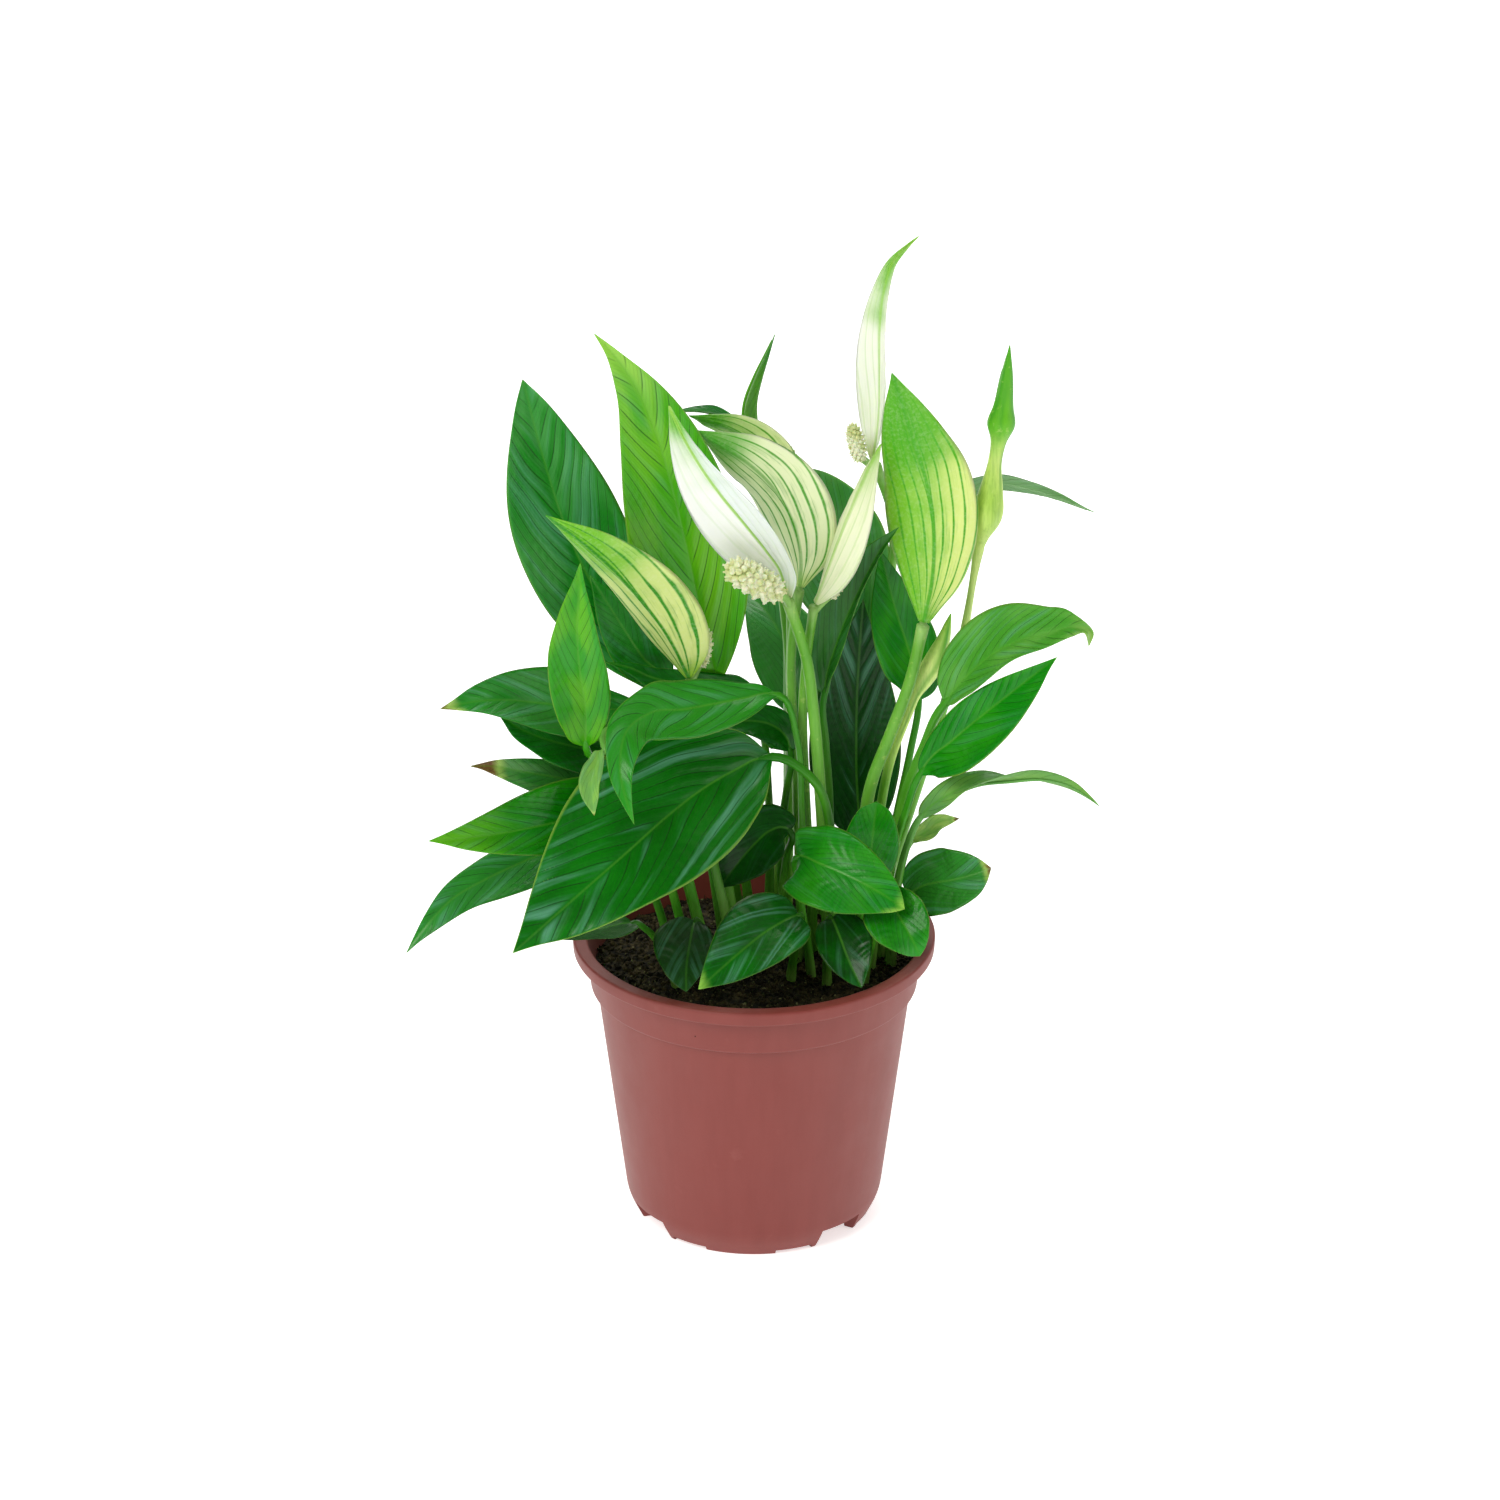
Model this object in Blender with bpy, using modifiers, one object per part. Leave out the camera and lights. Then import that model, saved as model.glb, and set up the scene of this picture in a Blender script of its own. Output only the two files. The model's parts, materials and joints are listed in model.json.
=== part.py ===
"""Potted peace lily: a moulded nursery pot, its soil, thirty-five leaves and nine flowers.

Metres, +Z up, the foot of the pot on z = 0, the pot's axis on the Z axis, the front along -Y.
"""
import bpy
import bmesh
import math
from mathutils import Vector

MM = 0.001

# ---- pot, mm ----------------------------------------------------------------------------
POT_HEIGHT = 100.0
LIP_RADIUS = 60.0
LIP_INNER_RADIUS = 55.3
LIP_DEPTH = 4.8
COLLAR_BOTTOM = 82.5
COLLAR_RADIUS_LOW = 54.0
COLLAR_RADIUS_HIGH = 55.7
BODY_RADIUS_TOP = 52.0
BODY_RADIUS_LOW = 42.4
FOOT_HEIGHT = 7.0
FOOT_RADIUS = 38.9
FOOT_INNER_RADIUS = 35.6
WALL = 1.3
FLOOR_LOW = 7.4
FLOOR_HIGH = 9.0
POT_STEPS = 64
PAD_HEIGHT = 1.5
# each foot: middle of its arc, half its arc at the floor, half the arc of its pad, degrees;
# angles run from the front (-Y) towards +X
FEET = ((-6.6, 34.5, 16.6), (83.4, 22.1, 10.0), (173.4, 34.5, 16.6), (263.4, 22.1, 10.0))
FOOT_SPREAD = 5.0
DRAIN_RADIUS = 4.5
DRAIN_RING = 24.0

# ---- soil, mm ---------------------------------------------------------------------------
SOIL_TOP = 90.0
GAP = 0.3
STEM_START = SOIL_TOP + GAP

# ---- leaves and flowers, mm -------------------------------------------------------------
BLADE_RIB = 0.9
BLADE_SKIN = 0.55
BLADE_RINGS = (0.0, 0.05, 0.13, 0.25, 0.4, 0.56, 0.72, 0.85, 0.94)
STEM_RINGS = 5
FOOT_GIRTH = 1.6
NECK_GIRTH = 1.15
SCAPE_RINGS = 7

for old in list(bpy.data.objects):
    bpy.data.objects.remove(old, do_unlink=True)
PLANT = bpy.data.collections.new("potted_peace_lily")
CUTTERS = bpy.data.collections.new("cutters")
bpy.context.scene.collection.children.link(PLANT)
bpy.context.scene.collection.children.link(CUTTERS)


def material(name, colour, roughness, metallic=0.0):
    """A plain Principled material of its own for one kind of piece."""
    made = bpy.data.materials.get(name) or bpy.data.materials.new(name)
    made.use_nodes = True
    shader = made.node_tree.nodes["Principled BSDF"]
    shader.inputs["Base Color"].default_value = (*colour, 1.0)
    shader.inputs["Roughness"].default_value = roughness
    shader.inputs["Metallic"].default_value = metallic
    made.diffuse_color = (*colour, 1.0)
    return made


def place(bm, name, look, smooth=True, home=PLANT):
    """Turn a bmesh laid out in mm into a named object in metres."""
    bmesh.ops.recalc_face_normals(bm, faces=bm.faces)
    bmesh.ops.scale(bm, vec=(MM, MM, MM), verts=bm.verts)
    mesh = bpy.data.meshes.new(name)
    bm.to_mesh(mesh)
    bm.free()
    for face in mesh.polygons:
        face.use_smooth = smooth
    thing = bpy.data.objects.new(name, mesh)
    home.objects.link(thing)
    if look:
        mesh.materials.append(look)
    return thing


def cut(thing, cutter):
    """Take one cutter out of a solid with an exact Boolean."""
    cutter.display_type = "WIRE"
    cutter.hide_render = True
    made = thing.modifiers.new("cut_" + cutter.name, "BOOLEAN")
    made.operation = "DIFFERENCE"
    made.solver = "EXACT"
    made.object = cutter


# ---- pot --------------------------------------------------------------------------------
def wedge(name, start, stop, low, high, flare):
    """A cutter between two angles, its sides sloping so it narrows towards the floor."""
    bm = bmesh.new()
    reach = LIP_RADIUS
    near = 20.0
    rows = []
    for height, ease in ((low, 0.0), (high, flare)):
        for radius in (near, reach):
            row = []
            for share in (0.0, 0.25, 0.5, 0.75, 1.0):
                angle = start + ease + (stop - start - 2.0 * ease) * share
                turn = math.radians(angle - 90.0)
                row.append(bm.verts.new((radius * math.cos(turn),
                                         radius * math.sin(turn), height)))
            rows.append(row)
    low_near, low_far, high_near, high_far = rows
    count = len(low_near)
    for n in range(count - 1):
        bm.faces.new((low_near[n], low_far[n], low_far[n + 1], low_near[n + 1]))
        bm.faces.new((high_near[n], high_near[n + 1], high_far[n + 1], high_far[n]))
        bm.faces.new((low_near[n], low_near[n + 1], high_near[n + 1], high_near[n]))
        bm.faces.new((low_far[n], high_far[n], high_far[n + 1], low_far[n + 1]))
    bm.faces.new((low_near[0], high_near[0], high_far[0], low_far[0]))
    bm.faces.new((low_near[-1], low_far[-1], high_far[-1], high_near[-1]))
    return place(bm, name, None, False, CUTTERS)


def build_pot():
    """One moulded shell: lip, collar, tapered body, raised floor and a ring of feet."""
    terracotta = material("terracotta_plastic", (0.30, 0.075, 0.062), 0.42)
    inner_low = BODY_RADIUS_LOW - WALL
    inner_top = BODY_RADIUS_TOP - WALL
    profile = (
        (0.0, FLOOR_HIGH),
        (inner_low - 0.4, FLOOR_HIGH),
        (inner_top, COLLAR_BOTTOM),
        (COLLAR_RADIUS_LOW - WALL, COLLAR_BOTTOM + 1.3),
        (LIP_INNER_RADIUS - 0.9, POT_HEIGHT - LIP_DEPTH),
        (LIP_INNER_RADIUS, POT_HEIGHT - 0.8),
        (LIP_INNER_RADIUS + 0.7, POT_HEIGHT),
        (LIP_RADIUS - 0.7, POT_HEIGHT),
        (LIP_RADIUS, POT_HEIGHT - 0.8),
        (LIP_RADIUS - 0.3, POT_HEIGHT - LIP_DEPTH),
        (COLLAR_RADIUS_HIGH, POT_HEIGHT - LIP_DEPTH),
        (COLLAR_RADIUS_LOW, COLLAR_BOTTOM),
        (BODY_RADIUS_TOP, COLLAR_BOTTOM - 0.4),
        (BODY_RADIUS_LOW, FOOT_HEIGHT),
        (FOOT_RADIUS, 0.0),
        (FOOT_INNER_RADIUS, 0.0),
        (FOOT_INNER_RADIUS, FLOOR_LOW),
        (0.0, FLOOR_LOW),
    )
    bm = bmesh.new()
    points = [bm.verts.new((radius, 0.0, height)) for radius, height in profile]
    for first, second in zip(points, points[1:]):
        bm.edges.new((first, second))
    bmesh.ops.scale(bm, vec=(MM, MM, MM), verts=bm.verts)
    mesh = bpy.data.meshes.new("pot")
    bm.to_mesh(mesh)
    bm.free()
    pot = bpy.data.objects.new("pot", mesh)
    PLANT.objects.link(pot)
    mesh.materials.append(terracotta)
    screw = pot.modifiers.new("turn", "SCREW")
    screw.steps = POT_STEPS
    screw.render_steps = POT_STEPS
    screw.use_merge_vertices = True
    screw.merge_threshold = 0.00001
    screw.use_smooth_shade = True
    screw.use_normal_calculate = True
    for n, (middle, half, pad) in enumerate(FEET):
        following, next_half, _ = FEET[(n + 1) % len(FEET)]
        following += 360.0 if following < middle else 0.0
        notch = wedge("notch_%d" % (n + 1), middle + half, following - next_half,
                      -5.0, FLOOR_LOW - 0.6, FOOT_SPREAD)
        cut(pot, notch)
        left = wedge("pad_left_%d" % (n + 1), middle - half - 2.0, middle - pad,
                     -5.0, PAD_HEIGHT, 0.6)
        cut(pot, left)
        right = wedge("pad_right_%d" % (n + 1), middle + pad, middle + half + 2.0,
                      -5.0, PAD_HEIGHT, 0.6)
        cut(pot, right)
    spots = [(0.0, 0.0)]
    for n in range(4):
        turn = math.radians(45.0 + 90.0 * n)
        spots.append((DRAIN_RING * math.cos(turn), DRAIN_RING * math.sin(turn)))
    for n, (x, y) in enumerate(spots):
        bpy.ops.mesh.primitive_cylinder_add(vertices=20, radius=DRAIN_RADIUS * MM,
                                            depth=12.0 * MM,
                                            location=(x * MM, y * MM, FLOOR_LOW * MM))
        drill = bpy.context.active_object
        drill.name = "drain_%d" % (n + 1)
        for home in list(drill.users_collection):
            home.objects.unlink(drill)
        CUTTERS.objects.link(drill)
        cut(pot, drill)
    return pot


def build_soil():
    """The ball of peat inside the pot, its top slightly uneven."""
    peat = material("peat", (0.02, 0.013, 0.009), 0.95)
    clear = WALL + GAP
    low = BODY_RADIUS_LOW - clear - 0.4
    top = BODY_RADIUS_TOP - clear
    bm = bmesh.new()
    steps = 36
    levels = ((low + 0.1, FLOOR_HIGH + GAP), (top - 0.1, COLLAR_BOTTOM - 0.6),
              (top + 0.4, COLLAR_BOTTOM + 2.6), (top + 0.6, SOIL_TOP - 1.6),
              (38.0, SOIL_TOP - 0.2), (20.0, SOIL_TOP))
    rings = []
    for depth, (radius, height) in enumerate(levels):
        ring = []
        for n in range(steps):
            turn = 2.0 * math.pi * n / steps
            dip = 0.0
            if depth >= 3:
                dip = 0.55 + 0.3 * math.sin(5.0 * turn + depth) + 0.25 * math.sin(11.0 * turn)
            ring.append(bm.verts.new((radius * math.cos(turn), radius * math.sin(turn),
                                      height - dip)))
        rings.append(ring)
    for lower, upper in zip(rings, rings[1:]):
        for n in range(steps):
            bm.faces.new((lower[n], lower[(n + 1) % steps], upper[(n + 1) % steps], upper[n]))
    bm.faces.new(list(reversed(rings[0])))
    middle = bm.verts.new((0.0, 0.0, SOIL_TOP - 0.2))
    for n in range(steps):
        bm.faces.new((rings[-1][n], rings[-1][(n + 1) % steps], middle))
    return place(bm, "soil", peat, False)


# ---- lofts ------------------------------------------------------------------------------
def smooth_path(points, share):
    """Point and direction along a Catmull-Rom path through the given points."""
    count = len(points) - 1
    at = min(max(share, 0.0), 1.0) * count
    n = min(int(at), count - 1)
    t = at - n
    p1 = points[n]
    p2 = points[n + 1]
    p0 = points[n - 1] if n > 0 else p1 * 2.0 - p2
    p3 = points[n + 2] if n + 2 <= count else p2 * 2.0 - p1
    spot = 0.5 * ((2.0 * p1) + (p2 - p0) * t + (2.0 * p0 - 5.0 * p1 + 4.0 * p2 - p3) * t * t
                  + (3.0 * p1 - p0 - 3.0 * p2 + p3) * t * t * t)
    way = 0.5 * ((p2 - p0) + (2.0 * p0 - 5.0 * p1 + 4.0 * p2 - p3) * 2.0 * t
                 + (3.0 * p1 - p0 - 3.0 * p2 + p3) * 3.0 * t * t)
    return spot, way.normalized()


def paced(points, count=60):
    """Lengths along the path, so rings can be spaced evenly along it."""
    spots = [smooth_path(points, n / count)[0] for n in range(count + 1)]
    run = [0.0]
    for first, second in zip(spots, spots[1:]):
        run.append(run[-1] + (second - first).length)
    return run


def at_length(points, run, share):
    """Path parameter at a share of the whole length."""
    goal = run[-1] * share
    count = len(run) - 1
    for n in range(count):
        if run[n + 1] >= goal:
            span = run[n + 1] - run[n]
            return (n + (goal - run[n]) / span if span else n) / count
    return 1.0


def loft(name, rings, apex, look):
    """Skin rings of equal count: a flat cap at the first, a point at the last."""
    bm = bmesh.new()
    made = [[bm.verts.new(spot) for spot in ring] for ring in rings]
    count = len(made[0])
    for lower, upper in zip(made, made[1:]):
        for n in range(count):
            bm.faces.new((lower[n], lower[(n + 1) % count], upper[(n + 1) % count], upper[n]))
    bm.faces.new(list(reversed(made[0])))
    if apex is None:
        bm.faces.new(made[-1])
    else:
        point = bm.verts.new(apex)
        for n in range(count):
            bm.faces.new((made[-1][n], made[-1][(n + 1) % count], point))
    bmesh.ops.triangulate(bm, faces=bm.faces)
    return place(bm, name, look)


def squared(vector, way):
    """The part of a vector at right angles to a direction."""
    return (vector - way * vector.dot(way)).normalized()


def stem_ring(spot, way, up, girth):
    """Eight points round a stalk, the first at its left side, the third on its upper side."""
    side = way.cross(up)
    ring = []
    for n in range(8):
        turn = math.pi - n * math.pi / 4.0
        ring.append(spot + side * (girth * math.cos(turn)) + up * (girth * math.sin(turn)))
    return ring


def blade_ring(spot, way, up, left, right, cup, rib, skin):
    """Left edge, three points on top, right edge, three underneath."""
    side = way.cross(up)

    def across(share):
        width = left if share < 0.0 else right
        reach = abs(share) * width
        lift = math.radians(cup)
        rise = reach * math.sin(lift) * (0.35 + 0.65 * abs(share))
        sway = math.copysign(1.0, share) * reach * math.cos(lift * 0.8)
        return spot + side * sway + up * rise

    thick = up * (skin * 0.5)
    mid = up * (rib * 0.5)
    return [across(-1.0), across(-0.5) + thick, spot + mid, across(0.5) + thick,
            across(1.0), across(0.5) - thick, spot - mid, across(-0.5) - thick]


def build_leaf(name, foot, stem, blade, half, face, look, cup=18.0, belly=0.38, taper=1.15,
               girth=FOOT_GIRTH, neck=NECK_GIRTH, face_tip=None):
    """One leaf: a round stalk from the soil that opens into a pointed, cupped blade.

    foot: where the stalk leaves the soil.  stem: bends of the stalk.  blade: neck to tip.
    half: greatest half widths, left and right of the rib seen from the upper side.
    face: where the upper side looks, at the neck; face_tip: the same at the tip.
    """
    stalk = [Vector((foot[0], foot[1], STEM_START))] + [Vector(p) for p in stem]
    stalk.append(Vector(blade[0]))
    spread = [Vector(p) for p in blade]
    whole = stalk + spread[1:]
    neck_at = (len(stalk) - 1) / (len(whole) - 1)
    first_up = Vector(face).normalized()
    last_up = Vector(face_tip or face).normalized()
    run = paced(whole, 120)
    neck_share = run[round(neck_at * 120)] / run[-1]
    rings = []
    up = None
    frames = []
    for share in BLADE_RINGS:
        where = at_length(whole, run, neck_share + (1.0 - neck_share) * share)
        spot, way = smooth_path(whole, where)
        want = first_up.lerp(last_up, share)
        frames.append((spot, way, squared(want, way), share))
    stalk_frames = []
    up = frames[0][2]
    for n in range(STEM_RINGS - 1, -1, -1):
        share = n / STEM_RINGS
        where = at_length(whole, run, neck_share * share)
        spot, way = smooth_path(whole, where)
        up = squared(up, way)
        thick = girth + (neck - girth) * share
        if n == 0:
            way = Vector((0.0, 0.0, 1.0))
            up = squared(up, way)
        stalk_frames.append((spot, way, up, thick))
    for spot, way, lean, thick in reversed(stalk_frames):
        rings.append(stem_ring(spot, way, lean, thick))
    power = belly * taper / (1.0 - belly)
    top = belly ** power * (1.0 - belly) ** taper
    for spot, way, lean, share in frames:
        if share == 0.0:
            rings.append(stem_ring(spot, way, lean, neck))
            continue
        wide = share ** power * (1.0 - share) ** taper / top
        thin = 1.0 - 0.45 * share
        rings.append(blade_ring(spot, way, lean, max(half[0] * wide, 0.5),
                                max(half[1] * wide, 0.5), cup,
                                max(BLADE_RIB, 2.0 * neck * (1.0 - share * 9.0)) * thin,
                                BLADE_SKIN * thin))
    return loft(name, rings, spread[-1], look)


def build_scape(name, foot, bends, head, look, girth=2.0, tip=1.6):
    """A round flower stalk from the soil to the underside of the flower."""
    whole = [Vector((foot[0], foot[1], STEM_START))] + [Vector(p) for p in bends]
    whole.append(Vector(head))
    run = paced(whole)
    rings = []
    up = Vector((0.0, -1.0, 0.0))
    for n in range(SCAPE_RINGS):
        share = n / (SCAPE_RINGS - 1)
        spot, way = smooth_path(whole, at_length(whole, run, share))
        if n == 0:
            way = Vector((0.0, 0.0, 1.0))
        up = squared(up, way)
        rings.append(stem_ring(spot, way, up, girth + (tip - girth) * share))
    return loft(name, rings, None, look)


def build_spathe(name, path, half, face, look, cup=40.0, belly=0.4, taper=1.1, root=1.4,
                 face_tip=None):
    """The hood of one flower: a pointed, deeply cupped bract, closed at its foot."""
    spread = [Vector(p) for p in path]
    first_up = Vector(face).normalized()
    last_up = Vector(face_tip or face).normalized()
    run = paced(spread)
    power = belly * taper / (1.0 - belly)
    top = belly ** power * (1.0 - belly) ** taper
    rings = []
    for share in BLADE_RINGS:
        spot, way = smooth_path(spread, at_length(spread, run, share))
        up = squared(first_up.lerp(last_up, share), way)
        wide = share ** power * (1.0 - share) ** taper / top if share else 0.0
        if share == 0.0:
            rings.append(stem_ring(spot, way, up, root))
            continue
        bend = cup * (1.0 - 0.35 * share)
        rings.append(blade_ring(spot, way, up, max(half[0] * wide, 0.5),
                                max(half[1] * wide, 0.5), bend,
                                BLADE_RIB, BLADE_SKIN))
    return loft(name, rings, spread[-1], look)


def build_spadix(name, low, high, radius, look):
    """The knobbly spike of small florets: rings whose points stand out in turn."""
    start = Vector(low)
    stop = Vector(high)
    way = (stop - start).normalized()
    up = squared(Vector((0.0, -1.0, 0.2)), way)
    side = way.cross(up)
    rings = []
    shape = ((0.0, 0.45), (0.06, 0.9), (0.2, 1.0), (0.34, 1.0), (0.48, 1.0), (0.62, 0.97),
             (0.76, 0.9), (0.89, 0.75), (0.97, 0.45))
    for level, (share, swell) in enumerate(shape):
        ring = []
        for n in range(10):
            turn = 2.0 * math.pi * n / 10.0
            knob = 1.12 if (n + level) % 2 else 0.9
            reach = radius * swell * knob
            ring.append(start + (stop - start) * share + side * (reach * math.cos(turn))
                        + up * (reach * math.sin(turn)))
        rings.append(ring)
    return loft(name, rings, stop, look)


def build_bud(name, foot, bends, body, swell, look):
    """A flower still rolled shut: its stalk and its spindle in one growth.

    body: points from the foot of the spindle to its tip.  swell: (share, radius) pairs.
    """
    stalk = [Vector((foot[0], foot[1], STEM_START))] + [Vector(p) for p in bends]
    spindle = [Vector(p) for p in body]
    whole = stalk + spindle
    run = paced(whole, 120)
    root = run[round(len(stalk) / (len(whole) - 1) * 120)] / run[-1]
    rings = []
    up = Vector((0.0, -1.0, 0.0))
    for share in (0.0, 0.25, 0.5, 0.75, 0.97):
        spot, way = smooth_path(whole, at_length(whole, run, root * share))
        if share == 0.0:
            way = Vector((0.0, 0.0, 1.0))
        up = squared(up, way)
        rings.append(stem_ring(spot, way, up, 1.7 - 0.2 * share))
    for share, radius in swell:
        spot, way = smooth_path(whole, at_length(whole, run, root + (1.0 - root) * share))
        up = squared(up, way)
        rings.append(stem_ring(spot, way, up, radius))
    return loft(name, rings, spindle[-1], look)


# ---- the plant --------------------------------------------------------------------------
DEEP = material("leaf_deep_green", (0.012, 0.14, 0.02), 0.35)
FRESH = material("leaf_fresh_green", (0.06, 0.28, 0.015), 0.35)
STALK = material("stalk_green", (0.14, 0.36, 0.05), 0.45)
SPATHE_WHITE = material("spathe_white", (0.78, 0.80, 0.66), 0.5)
SPATHE_STRIPED = material("spathe_striped", (0.46, 0.62, 0.16), 0.5)
CREAM = material("spadix_cream", (0.74, 0.72, 0.5), 0.7)

build_pot()
build_soil()

# upper left: two tall blades, one arching over the back, one seen on edge
build_leaf("leaf_01", (-8, 16), [(-19, 18, 140)],
           [(-32, 14, 180), (-45, 12, 205), (-58, 8, 234), (-67, 4, 265), (-74, 2, 296)],
           (18.5, 19), (0.1, -0.9, 0.3), DEEP, cup=14, belly=0.5, taper=0.95)
build_leaf("leaf_02", (0, 12), [(-6, 12, 140)],
           [(-12, 10, 184), (-16, 6, 205), (-21, 2, 234), (-28, -3, 267), (-35, -5, 290),
            (-42, -6, 304), (-51, -6, 315)],
           (19, 19), (0.1, -0.95, 0.2), FRESH, cup=16, belly=0.42, taper=1.35)
build_leaf("leaf_03", (11, 34), [(11, 37, 150)],
           [(10, 39, 219), (7, 39, 244), (-1, 36, 263), (-13, 30, 273), (-27, 22, 277)],
           (8, 9), (-0.8, -0.3, 0.5), DEEP, cup=12, face_tip=(-0.3, -0.2, 0.9))
build_leaf("leaf_04", (6, 27), [(12, 29, 150), (10, 31, 200)],
           [(3, 30, 242), (-2, 28, 264), (-2, 27, 279), (7, 24, 303)],
           (4.5, 4.5), (0.85, -0.5, 0.1), FRESH, cup=30)
build_leaf("leaf_05", (21, 34), [(26, 43, 140)],
           [(31, 47, 184), (28, 51, 205), (21, 53, 226), (11, 53, 245)],
           (17, 19), (0.15, -0.85, 0.45), DEEP, belly=0.48, taper=0.9)
build_leaf("leaf_06", (30, 36), [(40, 44, 150)],
           [(52, 49, 206), (64, 52, 230), (76, 52, 238), (92, 48, 238), (112, 44, 232)],
           (6, 6), (-0.2, -0.15, 1), DEEP, cup=10)

# middle: a folded blade, a mid green one and the broad dark one in the shade
build_leaf("leaf_07", (25, 11), [(25, 12, 140)],
           [(23, 11, 181), (28, 10, 203), (35, 8, 222), (41, 6, 235), (47, 4, 244)],
           (10.5, 6), (-0.5, -0.7, 0.4), DEEP, cup=42)
build_leaf("leaf_08", (30, 19), [(32, 20, 105)],
           [(35, 22, 123), (34, 27, 145), (34, 32, 169), (35, 35, 189), (36, 37, 204)],
           (16, 15), (0, -0.95, 0.25), DEEP, cup=12)
build_leaf("leaf_09", (38, 15), [(46, 14, 130)],
           [(54, 13, 178), (51, 14, 194), (46, 16, 210), (41, 18, 230)],
           (11, 10), (0.1, -0.95, 0.3), DEEP, cup=14)

# right side
build_leaf("leaf_10", (41, 5), [(45, 6, 120), (50, 4, 150)],
           [(62, -3, 184), (72, -9, 200), (83, -17, 212), (96, -24, 219), (106, -29, 223),
            (107, -33, 218)],
           (14, 10), (-0.35, -0.6, 0.7), FRESH, cup=18, girth=2.0, neck=1.5)
build_leaf("leaf_11", (38, -4), [(43, -3, 120)],
           [(54, -6, 160), (63, -12, 174), (75, -20, 189), (86, -27, 202), (97, -32, 214)],
           (8, 14), (-0.2, -0.75, 0.6), FRESH, cup=12, belly=0.42)
build_leaf("leaf_12", (45, -1), [(48, -1, 122)],
           [(54, -2, 142), (62, -8, 153), (72, -14, 161), (80, -18, 164), (96, -24, 167),
            (105, -28, 165), (112, -30, 160)],
           (5.5, 5.5), (0, -0.8, 0.6), FRESH, cup=12, face_tip=(0, 1, 0.15))
build_leaf("leaf_13", (44, 15), [(47, 14, 112)],
           [(52, 12, 127), (57, 14, 130), (61, 15, 133), (68, 18, 133)],
           (3.4, 3.4), (0, -0.8, 0.6), FRESH, cup=24, girth=1.1, neck=0.8)
build_leaf("leaf_14", (45, 7), [(48, 6.5, 103)],
           [(51, 5, 111), (57, 3, 116), (65, 0, 119), (72, -2, 122), (78, -3, 125)],
           (11, 12.5), (0.1, -0.75, 0.65), DEEP, cup=14, belly=0.42, taper=0.75)

# the young leaves in front
build_leaf("leaf_15", (19, -9), [(15, -11, 118)],
           [(14, -14, 134), (21, -22, 136), (31, -28, 134), (41, -32, 130), (49, -34, 125)],
           (13, 15), (0.05, -0.85, 0.5), FRESH, cup=12, belly=0.34, taper=0.85)
build_leaf("leaf_16", (31, -4), [(34, -5, 104)],
           [(36, -6, 120), (38, -8, 130), (39, -9, 141), (40, -9, 152)],
           (9.5, 9), (0, -0.9, 0.35), FRESH, cup=12, belly=0.5, taper=0.55)
build_leaf("leaf_17", (36, -15), [(40, -18, 112)],
           [(43, -23, 124), (47, -30, 121), (51, -36, 116), (54, -38, 110)],
           (9, 12), (0.05, -0.8, 0.6), FRESH, cup=14, belly=0.4, taper=0.8)
build_leaf("leaf_18", (24, -16), [(24, -18, 104)],
           [(25, -22, 116), (28, -30, 113), (31, -38, 108), (35, -45, 102)],
           (10, 9), (0, -0.75, 0.65), DEEP, cup=14, belly=0.42, taper=0.9)
build_leaf("leaf_19", (12, -14), [(14, -18, 106)],
           [(15, -24, 118), (4, -38, 119), (-7, -50, 115), (-18, -58, 108)],
           (13, 13), (-0.1, -0.75, 0.65), FRESH, cup=14, belly=0.38, taper=1.0)
build_leaf("leaf_20", (-11, -16), [(-15, -19, 106)],
           [(-19, -22, 115), (-21, -34, 112), (-22, -43, 108), (-22, -50, 103)],
           (8, 12), (0, -0.7, 0.7), DEEP, cup=12, belly=0.45, taper=0.9)
build_leaf("leaf_21", (-25, -18), [(-31, -22, 107)],
           [(-39, -30, 118), (-50, -40, 121), (-61, -48, 123), (-71, -54, 125)],
           (10, 9), (0, -0.2, 1), DEEP, cup=12)

# the big front blade and the one that folds down over it
build_leaf("leaf_22", (26, -4), [(25, -4, 139), (20, -7, 158)],
           [(6, -9, 168), (-7, -20, 168), (-22, -34, 164), (-37, -48, 156), (-54, -64, 147),
            (-77, -80, 132)],
           (24, 28), (-0.1, -0.75, 0.62), DEEP, cup=10, girth=1.9, neck=1.5, belly=0.42)
build_leaf("leaf_23", (15, 1), [(16, 2, 136), (14, 2, 171)],
           [(8, 0, 186), (-5, -12, 190), (-21, -28, 194), (-35, -46, 200), (-42, -60, 197),
            (-42, -69, 187), (-38, -73, 174)],
           (10.5, 9.5), (0, -0.6, 0.8), FRESH, cup=8, face_tip=(0, -1, 0.1), belly=0.42)
build_leaf("leaf_24", (-5, -9), [(-17, -9, 145), (-27, -10, 168), (-31, -12, 186),
                               (-39, -29, 193)],
           [(-48, -50, 191), (-50, -54, 187), (-52, -58, 181), (-51, -60, 171)],
           (4, 4), (-0.3, -0.8, 0.4), FRESH, cup=30, belly=0.5)

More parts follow.
